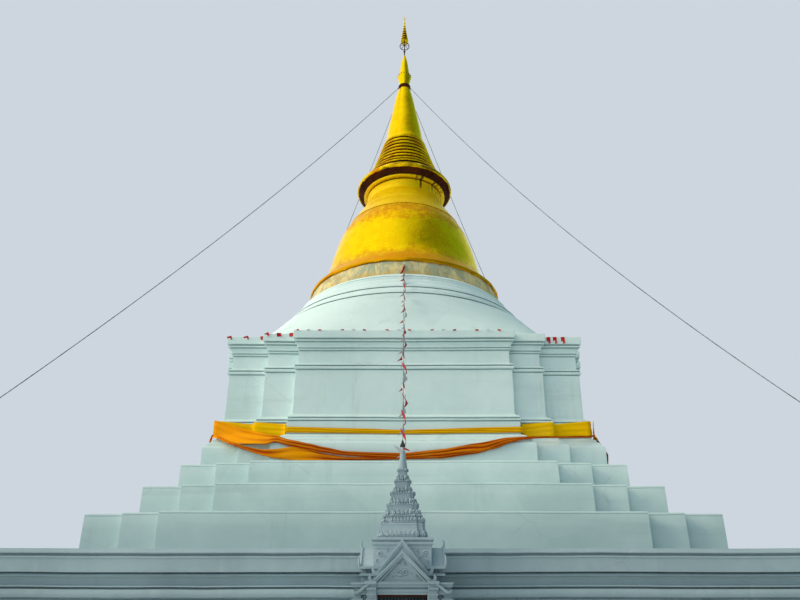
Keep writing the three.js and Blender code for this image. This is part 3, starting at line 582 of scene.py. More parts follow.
class Mass:
    """The points and faces of one piece, gathered shape by shape."""

    def __init__(self):
        self.points = []
        self.faces = []
        self.chart = []

    def face(self, ids, chart=None):
        self.faces.append(ids)
        self.chart.extend(chart or [(self.points[i].x, self.points[i].z) for i in ids])

    def loft(self, rings, joined=False):
        """A skin over closed rings of points, each turning left seen from the last one.

        `joined` makes a hoop."""
        start = len(self.points)
        count = len(rings[0])
        for ring in rings:
            self.points.extend(Vector(p) for p in ring)
        middle = [Vector(p) for p in rings[len(rings) // 2]]
        around = [0.0]
        for k in range(count):
            around.append(around[-1] + (middle[(k + 1) % count] - middle[k]).length)
        up = [0.0]
        pairs = list(zip(range(len(rings)), [*range(1, len(rings)), 0]))
        for low, high in pairs if joined else pairs[:-1]:
            up.append(up[-1] + (Vector(rings[high][0]) - Vector(rings[low][0])).length)
            for k in range(count):
                near, far = k, (k + 1) % count
                corners = ((low, near), (low, far), (high, far), (high, near))
                ids = [start + row * count + i for row, i in corners]
                self.face(tuple(ids), [
                    (around[k], up[-2]), (around[k + 1], up[-2]), (around[k + 1], up[-1]),
                    (around[k], up[-1])])
        if not joined:
            last = start + (len(rings) - 1) * count
            self.face(tuple(range(start + count - 1, start - 1, -1)))
            self.face(tuple(range(last, last + count)))
        return self

    def box(self, x0, x1, y0, y1, z0, z1):
        base = [(x0, y0), (x1, y0), (x1, y1), (x0, y1)]
        return self.loft([[(x, y, z) for x, y in base] for z in (z0, z1)])

    def prism(self, outline, y0, y1):
        """An (x, z) outline, which turns left seen from the front, made solid from y0 back to y1."""
        return self.loft([[(x, y, z) for x, z in outline] for y in (y1, y0)])

    def tube(self, path, radii, sides):
        """A round bar along a path. `radii` is one number or one for each point."""
        path = [Vector(p) for p in path]
        radii = radii if isinstance(radii, (list, tuple)) else [radii] * len(path)
        across = None
        rings = []
        for i, point in enumerate(path):
            along = (path[min(i + 1, len(path) - 1)] - path[max(i - 1, 0)]).normalized()
            if across is None:
                across = along.orthogonal().normalized()
            across = (across - along * across.dot(along)).normalized()
            other = along.cross(across)
            rings.append([
                point + (across * math.cos(a) + other * math.sin(a)) * radii[i] for a in all_round(sides)])
        return self.loft(rings)

    def board(self, path, halves, y0, y1):
        """A flat board whose (x, z) path is its middle line, from y0 back to y1."""
        path = [Vector(p) for p in path]
        halves = halves if isinstance(halves, (list, tuple)) else [halves] * len(path)
        rings = []
        for i, point in enumerate(path):
            along = (path[min(i + 1, len(path) - 1)] - path[max(i - 1, 0)]).normalized()
            left = Vector((-along.y, along.x)) * halves[i]
            low, high = point - left, point + left
            rings.append(
                [(low.x, y0, low.y), (low.x, y1, low.y), (high.x, y1, high.y), (high.x, y0, high.y)])
        return self.loft(rings)

    def turn(self, profile_points, around, axis=(0, 0)):
        """A turned solid from (radius, height) points, from its foot up."""
        return self.loft([circle_path(radius, height, around, axis) for radius, height in profile_points])

    def stray(self, reach):
        self.points = [strayed(p, reach) for p in self.points]
        return self

    def mesh(self, name, sharp=34):
        """A mesh with its chart, smooth but for edges that turn more than `sharp` degrees."""
        mesh = bpy.data.meshes.new(name)
        mesh.from_pydata(self.points, [], self.faces)
        chart = mesh.uv_layers.new(name="Chart")
        chart.data.foreach_set("uv", [value for uv in self.chart for value in uv])
        mesh.shade_smooth()
        mesh.set_sharp_from_angle(angle=math.radians(sharp))
        return mesh

    def piece(self, name, finish_name, arris=0.0, sharp=34):
        """An object in a finish, with its edges rounded by `arris`."""
        mesh = self.mesh(name, sharp)
        mesh.materials.append(finish(finish_name))
        made = placed(name, mesh)
        if arris:
            bevel = made.modifiers.new("Arris", "BEVEL")
            bevel.width = arris
            bevel.segments = 2
            bevel.limit_method = "ANGLE"
            bevel.angle_limit = math.radians(38)
            bevel.harden_normals = True
        return made


def settle(piece, slot, *nodes, body="stupa"):
    """The piece rides on its body and stands for these frame nodes. `slot` is not used."""
    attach(piece, body)
    if nodes:
        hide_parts(*nodes)
    return piece


def square_outline(half, centre_y=0.0):
    """The corners of a level square, centred on x = 0."""
    return [Vector((x * half, y * half + centre_y)) for x, y in ((-1, -1), (1, -1), (1, 1), (-1, 1))]


class Plan:
    """A square of half width `outer` with two shallow bays on every side.

    `middle` and `centre` are the bays' half widths, and `bays` says how far each stands out."""

    def __init__(self, centre, middle, outer, bays):
        self.centre = centre
        self.middle = middle
        self.outer = outer
        self.bays = bays

    def side(self, reach):
        """The front side, from its left corner."""
        outer = self.outer + reach
        middle = self.middle + reach
        centre = self.centre + reach
        near = outer + self.bays[0]
        far = near + self.bays[1]
        corners = [
            (-outer, -outer), (-middle, -outer), (-middle, -near), (-centre, -near), (-centre, -far),
            (centre, -far), (centre, -near), (middle, -near), (middle, -outer)]
        return [Vector(corner) for corner in corners]

    def outline(self, reach=0.0):
        """All four sides, with every face moved out by `reach`."""
        return [turn.to_2x2() @ corner for turn in QUARTER_TURNS for corner in self.side(reach)]

    def towards(self, other, share):
        """A plan between this one and another."""
        blend = [a + (b - a) * share for a, b in zip(
            (self.centre, self.middle, self.outer), (other.centre, other.middle, other.outer))]
        return Plan(*blend, self.bays)


STEP_BAYS = (0.275, 0.315)
BODY_BAYS = (0.3, 0.32)
LOWER_STEP = Plan(6.825, 7.97, 9.165, STEP_BAYS)
MIDDLE_STEP = Plan(5.66, 6.78, 8.045, STEP_BAYS)
UPPER_STEP = Plan(4.865, 6.0, 7.235, STEP_BAYS)
SHOULDER = Plan(4.345, 5.475, 6.76, BODY_BAYS)
BODY = Plan(3.765, 4.895, 6.24, BODY_BAYS)
PLINTH_WRAP = Plan(3.925, 5.055, 6.4, BODY_BAYS)


def divided(outlines):
    """Level outlines [(corners, height)] with points along their long edges, the same number on each."""
    first = outlines[0][0]
    counts = [max(1, round((b - a).length / sizes().course)) for a, b in zip(first, first[1:] + first[:1])]
    rings = []
    for corners, height in outlines:
        edges = zip(corners, corners[1:] + corners[:1], counts)
        rings.append([(*a.lerp(b, k / count), height) for a, b, count in edges for k in range(count)])
    return rings


def storey(name, plan, steps, finish_name="limewash", cover=(), arris=None):
    """A storey on a plan from (reach, height) steps. `cover` draws its top in, under the next storey."""
    top_reach, top = steps[-1]
    levels = [*filled(steps, 0.45), *[Vector((top_reach - inset, top)) for inset in cover]]
    mass = Mass().loft(divided([(plan(reach), height) for reach, height in levels]))
    return mass.stray(sizes().wander).piece(name, finish_name, sizes().arris if arris is None else arris)


def turned(name, points, finish_name, around=None, wander=0.4, ragged=None, sharp=34):
    """A round storey, with its points strayed. `ragged` (height, depth) roughens it under that height."""
    mass = Mass().turn(points, around or sizes().around)
    if ragged:
        height, depth = ragged
        for point in mass.points:
            if point.z < height:
                lift = noise.fractal(Vector((point.x, point.y, 0)) * 2.1, 0.6, 2.2, 5)
                share = min(1, (height - point.z) / 0.1)
                point.z += lift * depth * share
                point.xy *= 1 + lift * depth * 0.12 * share
    return mass.stray(sizes().wander * wander).piece(name, finish_name, sharp=sharp)


class Pattern:
    """A Geometry Nodes tree with named sizes, run once and kept as a plain mesh."""

    def __init__(self, name):
        self.tree = bpy.data.node_groups.new(name, "GeometryNodeTree")
        for way in ("INPUT", "OUTPUT"):
            self.tree.interface.new_socket("Geometry", in_out=way, socket_type="NodeSocketGeometry")
        self.group = self.tree.nodes.new("NodeGroupInput")
        self.seed = self.group.outputs["Geometry"]
        self.values = {}

    def size(self, name, value, kind="Float"):
        item = self.tree.interface.new_socket(name, in_out="INPUT", socket_type="NodeSocket" + kind)
        self.values[item.identifier] = value
        return self.group.outputs[name]

    def add(self, kind, inputs=None, **settings):
        return new_node(self.tree, kind, inputs, settings).outputs

    def math(self, operation, first, second):
        return self.add("ShaderNodeMath", {0: first, 1: second}, operation=operation)[0]

    def piece(self, name, geometry, finish_name, seed=None, sharp=34):
        """Runs the tree on the seed mesh and gives a new object that holds the result."""
        whole = self.add("GeometryNodeRealizeInstances", {"Geometry": geometry})[0]
        painted = self.add(
            "GeometryNodeSetMaterial", {"Geometry": whole, "Material": finish(finish_name)})[0]
        self.tree.links.new(painted, self.tree.nodes.new("NodeGroupOutput").inputs[0])
        made = placed(name, seed or bpy.data.meshes.new(name))
        pattern = made.modifiers.new("Pattern", "NODES")
        pattern.node_group = self.tree
        for identifier, value in self.values.items():
            pattern[identifier] = value
        made.update_tag()
        bpy.context.view_layer.update()
        mesh = bpy.data.meshes.new_from_object(made.evaluated_get(bpy.context.evaluated_depsgraph_get()))
        made.modifiers.remove(pattern)
        made.data = mesh
        mesh.name = name
        mesh.shade_smooth()
        mesh.set_sharp_from_angle(angle=math.radians(sharp))
        if not mesh.polygons:
            raise RuntimeError(name + " came out empty")
        return made


def repeated(name, paths, shape, finish_name, pitch, every=1, first=0, sway=(0, 0, 0), seed=3):
    """Copies of a shape along paths, a pitch apart. The shape has X along the path and its back on +Y."""
    p = Pattern(name)
    line = bpy.data.meshes.new(name + "_lines")
    points = []
    edges = []
    for path, closed in paths:
        start = len(points)
        points.extend(tuple(q) for q in path)
        edges.extend((start + i, start + i + 1) for i in range(len(path) - 1))
        if closed:
            edges.append((len(points) - 1, start))
    line.from_pydata(points, edges, [])
    curve = p.add("GeometryNodeMeshToCurve", {"Mesh": p.seed})[0]
    spots = p.add(
        "GeometryNodeCurveToPoints", {"Curve": curve, "Length": p.size("Pitch", pitch)}, mode="LENGTH")
    index = p.add("GeometryNodeInputIndex")[0]
    turn = p.math("MODULO", index, p.size("Every", every, "Int"))
    chosen = p.add("FunctionNodeCompare", {0: turn, 1: p.size("First", first, "Int")}, operation="EQUAL")[0]
    aligned = p.add(
        "FunctionNodeAlignRotationToVector", {"Vector": spots["Tangent"]}, axis="X", pivot_axis="Z")[0]
    most = p.size("Sway", sway, "Vector")
    least = p.add("ShaderNodeVectorMath", {0: most, 1: (-1, -1, -1)}, operation="MULTIPLY")[0]
    swayed = p.add(
        "FunctionNodeRandomValue", {0: least, 1: most, "Seed": p.size("Seed", seed, "Int")},
        data_type="FLOAT_VECTOR")[0]
    facing = p.add("FunctionNodeRotateRotation", {0: aligned, 1: swayed}, rotation_space="LOCAL")[0]
    source = placed(name + "_shape", shape)
    instance = p.add("GeometryNodeObjectInfo", {0: p.size("Shape", source, "Object")})["Geometry"]
    copies = p.add("GeometryNodeInstanceOnPoints", {
        "Points": spots["Points"], "Selection": chosen, "Instance": instance, "Rotation": facing})[0]
    made = p.piece(name, copies, finish_name, line)
    bpy.data.objects.remove(source)
    return made


def circle_path(radius, height, count=48, axis=(0, 0)):
    """Points round a level circle."""
    return [
        (axis[0] + radius * math.cos(a), axis[1] + radius * math.sin(a), height) for a in all_round(count)]


# Pieces

class STUPA_OT_stage(bpy.types.Operator):
    """Sets the camera, the soft light, the backdrop and the pale floor"""
    bl_idname = "stupa.stage"
    bl_label = "Stage"

    def execute(self, context):
        s = sizes()
        scene = context.scene
        scene.view_settings.view_transform = "Standard"
        data = bpy.data.cameras.new("eye")
        data.sensor_width = SENSOR_WIDTH
        data.lens = LENS_LENGTH
        data.shift_x, data.shift_y = LENS_SHIFT
        data.clip_end = FAR_CLIP
        eye = placed("eye", data)
        eye.location = (EYE_RIGHT, -s.eye_distance, s.eye_height)
        eye.rotation_euler = (math.pi / 2 + s.eye_pitch, 0, 0)
        scene.camera = eye

        key = bpy.data.lights.new("key", "SUN")
        key.energy = KEY_ENERGY
        key.angle = KEY_SPREAD
        key.color = KEY_COLOUR
        lamp = placed("key", key)
        lamp.rotation_euler = KEY_FROM.to_track_quat("Z", "Y").to_euler()
        lamp.visible_glossy = False

        floor = Mass()
        floor.points = [Vector(p) for p in circle_path(FLOOR_RADIUS, 0, 64)]
        floor.face(tuple(range(len(floor.points))))
        floor.piece("floor", "pale_floor")
        self.sky(scene)
        return {"FINISHED"}

    def sky(self, scene):
        """Soft light that is warm and bright on the left and cool on the right, behind a plain backdrop."""
        world = bpy.data.worlds.new("sky")
        scene.world = world
        world.use_nodes = True
        tree = world.node_tree
        tree.nodes.clear()

        def add(kind, inputs=None, **settings):
            return new_node(tree, kind, inputs, settings).outputs

        def blend(factor, first, second):
            return add("ShaderNodeMix", {0: factor, 6: first, 7: second}, data_type="RGBA")[2]

        def rise(value, low, high):
            values = {0: value, 1: low, 2: high, 3: 0, 4: 1}
            return add("ShaderNodeMapRange", values, interpolation_type="SMOOTHSTEP")[0]

        way = add("ShaderNodeSeparateXYZ", {0: add("ShaderNodeTexCoord")["Generated"]})
        side = rise(way["X"], -0.4, 0.42)
        beside = rise(way["Y"], -0.2, 0.2)
        rear = rise(way["Y"], 0.3, 0.8)
        shaded = blend(beside, (0.05, 0.11, 0.13), (0.08, 0.24, 0.29))
        overcast = blend(beside, (0.12, 0.18, 0.2), (0.15, 0.31, 0.36))
        low = blend(side, (0.93, 0.98, 0.98), blend(rear, shaded, (0.5, 0.7, 0.7)))
        high = blend(side, (0.98, 1.0, 1.0), blend(rear, overcast, (0.56, 0.74, 0.74)))
        overhead = add("ShaderNodeMapRange", {0: way["Z"], 1: 0.88, 2: 0.98, 3: 0, 4: 0.4})[0]
        high = blend(overhead, high, (1.05, 1.05, 1.02))
        soft = blend(rise(way["Z"], -0.1, 0.9), low, high)
        light = add("ShaderNodeBackground", {"Color": soft, "Strength": SKY_STRENGTH})[0]
        plain = add("ShaderNodeBackground", {"Color": colours().sky, "Strength": 1.0})[0]
        seen = add("ShaderNodeLightPath")["Is Camera Ray"]
        both = add("ShaderNodeMixShader", {0: seen, 1: light, 2: plain})[0]
        tree.links.new(both, tree.nodes.new("ShaderNodeOutputWorld").inputs[0])


class STUPA_OT_terrace(bpy.types.Operator):
    """Builds the moulded wall and coping of the lowest terrace"""
    bl_idname = "stupa.terrace"
    bl_label = "Terrace"

    def execute(self, context):
        half = TERRACE_HALF - TERRACE_LIP

        def plan(reach):
            return square_outline(half + reach)

        wall = profile(
            (0, 0), (0, 0.36), (-0.07, 0.42, 0.012), (-0.07, 0.52), (-0.21, 0.70, -0.035), (-0.30, 0.76),
            (-0.30, 1.48), (-0.21, 1.56, -0.02), (-0.205, 1.58), (-0.14, 1.60), (-0.14, 1.73, 0.02),
            (-0.17, 1.74), (-0.17, 1.762), (-0.07, 1.775), (-0.07, 1.94, 0.03), (-0.17, 1.945),
            (-0.17, 1.975), (-0.08, 1.985), (-0.11, 2.018), (-0.21, 2.024), (-0.19, 2.19, -0.02),
            (-0.05, 2.205), (-0.09, 2.26), (-0.16, 2.265), (-0.16, CORNICE_FOOT + 0.03))
        coping = profile(
            (0, CORNICE_FOOT), (0, 2.575), (0.026, 2.582), (-0.004, 2.626), (-0.05, 2.63), (-0.05, 2.665),
            (0.03, 2.674), (0.03, 2.7), (-0.012, 2.755), (-0.02, TERRACE_TOP))
        settle(storey("terrace_face", plan, wall, "terrace_wash"), "grey_whitewash", "terrace_wall")
        deck = storey("terrace_coping", plan, coping, "terrace_wash", cover=(0.4, 1.2, 2.4, 4.5))
        settle(deck, "grey_whitewash", "terrace_cornice")
        return {"FINISHED"}


class STUPA_OT_steps(bpy.types.Operator):
    """Builds the three plain steps and the sloping one over them"""
    bl_idname = "stupa.steps"
    bl_label = "Steps"

    def execute(self, context):
        for name, plan in (
                ("lower_step", LOWER_STEP), ("middle_step", MIDDLE_STEP), ("upper_step", UPPER_STEP)):
            foot, top = foot_of(name), top_of(name)
            steps = profile(
                (0.035, foot - 0.05), (0.022, foot + 0.12), (0.004, top - 0.09), (-0.004, top - 0.075),
                (0.008, top - 0.062), (0.006, top - 0.036), (-0.026, top, 0.004))
            settle(
                storey(name + "_dressed", plan.outline, steps, cover=(0.25, 0.7, 1.16)), "whitewash", name)
        self.shoulder()
        return {"FINISHED"}

    def shoulder(self):
        """The top step's face and the small tiers that draw it in to the plinth."""
        tiers = (
            (0, foot_of("sloping_shoulder") - 0.05), (0, 6.2), (0, 6.4), (0, 6.635), (0.03, 6.655),
            (0.29, 6.735), (0.3, 6.745), (0.31, 6.79), (0.335, 6.805), (0.6, 6.875), (0.61, 6.885),
            (0.62, 6.93), (0.65, 6.945), (0.95, PLINTH_FOOT - 0.003), (1.0, PLINTH_FOOT + 0.02))
        outlines = [(SHOULDER.towards(PLINTH_WRAP, share).outline(), height) for share, height in tiers]
        mass = Mass().loft(divided(outlines)).stray(sizes().wander)
        settle(mass.piece("shoulder_dressed", "limewash", sizes().arris), "whitewash", "sloping_shoulder")


class STUPA_OT_body(bpy.types.Operator):
    """Builds the redented body with its base, string course, frieze and cornice"""
    bl_idname = "stupa.body"
    bl_label = "Redented Body"

    def execute(self, context):
        plinth = profile((0.15, PLINTH_FOOT - 0.04), (0.15, 7.485), (0.11, 7.49))
        base = profile(
            (0.1, 7.475), (0.1, 7.508), (0.175, 7.516), (0.175, 7.575, 0.006), (0.09, 7.585), (0.09, 7.618),
            (0.15, 7.626), (0.15, 7.66), (0.105, 7.705), (0.035, WALL_FOOT, -0.02),
            (0.0, WALL_FOOT + 0.012))
        wall = profile((0.008, WALL_FOOT - 0.03), (-0.006, 9.39))
        string = profile(
            (-0.06, 9.36), (-0.06, 9.405), (0.042, 9.415), (0.042, 9.5, 0.008), (-0.03, 9.508),
            (-0.03, 9.54), (0.04, 9.55), (0.025, 9.6), (-0.05, 9.643, -0.01), (-0.1, 9.66))
        frieze = profile((-0.078, FRIEZE_FOOT - 0.02), (-0.078, 10.11))
        cornice = profile(
            (-0.12, 10.095), (-0.12, 10.13), (-0.025, 10.14), (-0.03, 10.178), (-0.085, 10.186),
            (-0.085, 10.216), (-0.02, 10.226), (0.045, 10.39, -0.03), (-0.015, 10.396), (-0.015, 10.425),
            (0.088, 10.436), (0.088, 10.48), (0.01, 10.487), (0.01, 10.528), (0.118, 10.54), (0.118, 10.8),
            (0.098, CORNICE_TOP, 0.006))
        rows = (
            ("plinth_dressed", plinth, "body_plinth", ()),
            ("base_moulding_dressed", base, "body_base_moulding", ()),
            ("wall_dressed", wall, "body_wall", ()),
            ("string_course_dressed", string, "string_course", ()),
            ("frieze_dressed", frieze, "body_frieze", ()),
            ("cornice_dressed", cornice, "body_cornice", (0.25, 0.7, 1.15)),
        )
        for name, steps, node, cover in rows:
            small = sizes().arris * (1.0 if node in ("body_plinth", "body_wall", "body_cornice") else 0.5)
            settle(storey(name, BODY.outline, steps, cover=cover, arris=small), "whitewash", node)
        return {"FINISHED"}


class STUPA_OT_roof(bpy.types.Operator):
    """Builds the flared roof, nearly square at its foot and round at its top, and the rings over it"""
    bl_idname = "stupa.roof"
    bl_label = "Flared Roof"

    def execute(self, context):
        foot_half, power = 6.85, 3.44
        top_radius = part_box("drum_mouldings")[1].x + 0.06
        around, levels, belly = 192, 26, 0.05
        rings = []
        for level in range(-1, levels + 1):
            share = max(0, level) / levels
            ring = []
            for angle in all_round(around):
                spread = abs(math.cos(angle)) ** power + abs(math.sin(angle)) ** power
                radius = foot_half / spread ** (1 / power)
                radius += (top_radius - radius) * share - belly * math.sin(math.pi * share)
                height = CORNICE_TOP + (FLARE_TOP - CORNICE_TOP) * share - (0.06 if level < 0 else 0)
                ring.append((radius * math.cos(angle), radius * math.sin(angle), height))
            rings.append(ring)
        roof = Mass().loft(rings).stray(sizes().wander * 1.3).piece("roof_dressed", "limewash")
        settle(roof, "whitewash", "flared_roof")
        drum = filled(profile(
            (5.68, FLARE_TOP - 0.05), (5.68, FLARE_TOP - 0.012), (5.82, FLARE_TOP - 0.002), (5.8, 12.845),
            (5.67, 12.925, -0.015), (5.56, 12.932), (5.56, 12.966), (5.67, 12.976), (5.65, 13.015),
            (5.56, 13.04), (5.37, 13.33, 0.03), (5.25, 13.337), (5.25, 13.366), (5.37, 13.376),
            (5.36, 13.418), (5.22, 13.424), (5.2, 13.458), (5.27, 13.468), (5.06, 13.70, 0.03),
            (5.0, 13.74), (4.99, 13.77), (4.87, 13.95, 0.012), (4.86, 14.085), (4.73, 14.092),
            (4.72, 14.13), (4.79, 14.14), (4.75, 14.2), (4.64, DRUM_TOP + 0.02)), 0.3)
        settle(turned("drum_dressed", drum, "limewash", sharp=28), "whitewash", "drum_mouldings")
        return {"FINISHED"}


class STUPA_OT_bell(bpy.types.Operator):
    """Builds the worn gilded band, the bell, its shoulder and the neck"""
    bl_idname = "stupa.bell"
    bl_label = "Gilded Bell"

    def execute(self, context):
        band = filled(
            flowing([(4.56, DRUM_TOP - 0.03), (4.52, 14.5), (4.44, 14.8), (4.32, BAND_TOP + 0.03)]), 0.12)
        settle(turned("worn_band", band, "worn_gold", ragged=(15.2, 0.02)), "worn_gold", "gilded_band")
        lip = profile(
            (4.2, BAND_TOP + 0.004), (4.34, BAND_TOP - 0.012), (4.405, 15.085), (4.4, 15.2, 0.01),
            (4.37, 15.23))
        side = flowing([
            (4.37, 15.23), (4.14, 15.44), (3.88, 15.76), (3.72, 16.08), (3.6, 16.45), (3.49, 16.9),
            (3.36, 17.4), (3.195, 17.95), (3.005, 18.45), (2.695, BELL_TOP)], 5)
        bell = turned("bell_dressed", lip + side[1:], "bell_gold", wander=1.0, ragged=(15.22, 0.05))
        settle(bell, "gold", "bell")
        shoulder = [
            Vector((2.66, BELL_TOP - 0.03)), Vector((2.715, BELL_TOP - 0.005)),
            Vector((2.71, BELL_TOP + 0.02))]
        shoulder += flowing([(2.69, BELL_TOP + 0.04), (2.45, 19.42), (2.24, 19.735)], 5)
        shoulder += flowing([(2.235, 19.75), (2.2, 19.775), (2.11, 19.95), (1.98, 20.2), (1.87, 20.47)], 5)
        settle(
            turned("bell_shoulder_dressed", shoulder, "shoulder_gold", wander=0.8), "gold", "bell_shoulder")
        neck = profile(
            (1.84, NECK_FOOT - 0.05), (1.855, NECK_FOOT), (1.85, NECK_FOOT + 0.05), (1.85, 20.885),
            (1.8, 20.89), (1.8, 20.95), (1.985, 20.965), (2.01, 20.985, 0.006), (2.01, 21.045),
            (1.97, 21.08))
        settle(turned("neck_dressed", filled(neck, 0.15), "neck_gold", wander=0.5), "gold", "neck")
        return {"FINISHED"}


class STUPA_OT_disc(bpy.types.Operator):
    """Builds the round disc over the bell, with its dark underside"""
    bl_idname = "stupa.disc"
    bl_label = "Disc"

    def execute(self, context):
        soffit = flowing([(1.93, 21.045), (2.0, 21.06), (2.12, 21.13), (2.24, 21.2), (2.32, 21.255)], 4)
        settle(turned("soffit_dressed", soffit, "dark_paint"), "dark_paint", "disc_soffit")
        disc = flowing([
            (2.27, 21.235), (2.335, 21.25), (2.35, 21.31), (2.335, 21.39), (2.29, 21.46), (2.235, 21.53),
            (2.12, 21.64), (1.98, 21.75), (1.9, DISC_TOP + 0.01)], 5)
        settle(turned("disc_dressed", disc, "disc_gold", wander=0.7, ragged=(21.35, 0.02)), "gold", "disc")
        return {"FINISHED"}


class STUPA_OT_spire(bpy.types.Operator):
    """Builds the ringed cone, the plain cone, the bulb with its studs and the slim cone over it"""
    bl_idname = "stupa.spire"
    bl_label = "Spire"

    def execute(self, context):
        self.rings()
        cone = flowing([
            (1.0, RINGS_TOP - 0.02), (1.05, RINGS_TOP + 0.02), (0.975, 24.4), (0.9, 24.8), (0.765, 25.6),
            (0.61, 26.4), (0.46, 27.2), (0.32, COLLAR_FOOT + 0.02)], 6)
        settle(turned("cone_dressed", cone, "spire_gold", 96, wander=0.5), "gold", "smooth_cone")
        bulb = flowing([
            (0.22, 28.02), (0.25, 28.06), (0.262, 28.18), (0.285, 28.33), (0.32, 28.48), (0.345, 28.6),
            (0.352, 28.68), (0.33, 28.73), (0.27, 28.79), (0.24, BULB_TOP + 0.01)], 5)
        settle(turned("bulb_dressed", bulb, "spire_gold", 64, wander=0.2), "gold", "spire_bulb")
        slim = flowing(
            [
                (0.25, BULB_TOP - 0.02), (0.245, 29.02), (0.215, 29.26), (0.16, 29.67), (0.09, 30.0),
                (0.045, 30.16)], 6)
        settle(turned("slim_cone_dressed", slim, "spire_gold", 48, wander=0.2), "gold", "upper_cone")
        stud = Mass().turn(profile((0.028, -0.03), (0.03, 0.0), (0.0, 0.045, 0.01))[:-1], 10)
        shape = stud.mesh("stud")
        shape.transform(Matrix.Rotation(math.pi / 2, 4, "X"))
        ring = circle_path(0.338, 28.705)
        studs = repeated("bulb_studs", [(ring, True)], shape, "dark_paint", 0.146)
        settle(studs, "dark_paint")
        return {"FINISHED"}

    def rings(self):
        """Rings on the cone, each narrower than the last and set in a groove, which the ring finish darkens
        with painted shade.
        """
        p = Pattern("spire_rings")
        foot = DISC_TOP
        foot_radius, top_radius = 1.87, 1.11
        count = p.size("Rings", sizes().ring_count, "Int")
        rise = p.math("DIVIDE", p.size("Height", RINGS_TOP - foot), count)
        step = p.add("ShaderNodeCombineXYZ", {2: rise})[0]
        spots = p.add(
            "GeometryNodeMeshLine", {"Count": count, "Start Location": (0, 0, foot), "Offset": step})[0]
        share = p.math("DIVIDE", p.add("GeometryNodeInputIndex")[0], p.math("SUBTRACT", count, 1))
        eased = p.math("POWER", share, 0.78)
        radius = p.add("ShaderNodeMapRange", {
            0: eased, 3: p.size("Foot Radius", foot_radius), 4: p.size("Top Radius", top_radius)})[0]
        scale = p.add("ShaderNodeCombineXYZ", {0: radius, 1: radius, 2: rise})[0]
        copies = p.add(
            "GeometryNodeInstanceOnPoints", {"Points": spots, "Instance": p.seed, "Scale": scale})[0]
        section = profile(
            (0.86, -0.02), (0.86, 0.4), (0.975, 0.45), (1.0, 0.53), (0.99, 0.9, 0.014), (0.96, 0.97),
            (0.86, 0.99), (0.86, 1.03))
        ring = Mass().turn(section, 128).mesh("ring")
        made = p.piece("rings_dressed", copies, "ring_gold", ring)
        for vertex in made.data.vertices:
            vertex.co = strayed(vertex.co, sizes().wander * 0.5)
        settle(made, "gold", "ringed_cone")


class STUPA_OT_finial(bpy.types.Operator):
    """Builds the mast with its hoop, the tiered umbrella of small leaves and the vane"""
    bl_idname = "stupa.finial"
    bl_label = "Finial"

    def execute(self, context):
        hoop_height, hoop_radius, hoop_half = 30.83, 0.25, 0.02
        mast = Mass().tube(
            [(0, 0, MAST_FOOT), (0, 0, 30.5), (0, 0, UMBRELLA_FOOT + 0.02)], [0.034, 0.026, 0.026], 16)
        sections = []
        for x, y, z in circle_path(hoop_radius, hoop_height):
            out = Vector((x, y, 0)).normalized() * hoop_half
            up = Vector((0, 0, hoop_half))
            sections.append([
                Vector((x, y, z)) + out * math.cos(a) + up * math.sin(a) for a in all_round(10)])
        mast.loft(sections[::-1], joined=True)
        for a in all_round(8):
            end = Vector((math.cos(a), math.sin(a), 0)) * hoop_radius
            bend = end * 0.5 + Vector((0, 0, hoop_height + 0.05))
            mast.tube([(0, 0, hoop_height + 0.09), bend, end + Vector((0, 0, hoop_height))], 0.011, 6)
        mast.turn(profile((0.027, 30.4), (0.05, 30.42), (0.05, 30.47, 0.012), (0.027, 30.49)), 16)
        settle(mast.piece("mast_dressed", "ironwork"), "iron", "finial_mast")
        self.umbrella()
        vane = Mass().turn(flowing([
            (0.02, UMBRELLA_TOP - 0.02), (0.03, 32.42), (0.052, 32.46), (0.04, 32.51), (0.018, 32.56),
            (0.014, 32.62), (0.026, 32.66), (0.014, 32.7), (0.012, 32.9), (0.003, TIP)], 4), 20)
        arm = ((0, 32.765), (0.06, 32.775), (0.1, 32.79), (0.112, 32.82))
        for a in all_round(4):
            out = Vector((math.cos(a), math.sin(a), 0))
            vane.tube([out * r + Vector((0, 0, z)) for r, z in arm], [0.011, 0.01, 0.008, 0.004], 8)
        settle(vane.piece("vane_dressed", "finial_gold"), "gold", "spire_vane")
        return {"FINISHED"}

    def umbrella(self):
        """Tiers like small parasols, each over the last, with leaves that hang from their rims."""
        tiers = 7
        pitch = (UMBRELLA_TOP - UMBRELLA_FOOT) / tiers
        shade = Mass()
        rims = []
        for i in range(tiers):
            radius, z = 0.205 - i * 0.025, UMBRELLA_FOOT + i * pitch
            shade.turn(profile(
                (radius * 0.9, z + 0.012), (radius, z + 0.012), (radius * 1.02, z + 0.035),
                (radius * 0.97, z + 0.045), (radius * 0.55, z + pitch * 0.8, -0.008),
                (0.03, z + pitch * 0.92), (0.026, z + pitch + 0.01)), 40)
            rims.append((circle_path(radius * 0.985, z + 0.03, 32), True))
        settle(shade.piece("umbrella_dressed", "finial_gold"), "gold", "tiered_umbrella")
        outline = [(-0.011, 0.004), (-0.013, -0.016), (0, -0.038), (0.013, -0.016), (0.011, 0.004)]
        leaf = Mass().prism(outline, -0.004, 0.002)
        leaves = repeated(
            "umbrella_leaves", rims, leaf.mesh("umbrella_leaf"), "finial_gold", 0.034, sway=(0.25, 0, 0.1))
        settle(leaves, "gold")


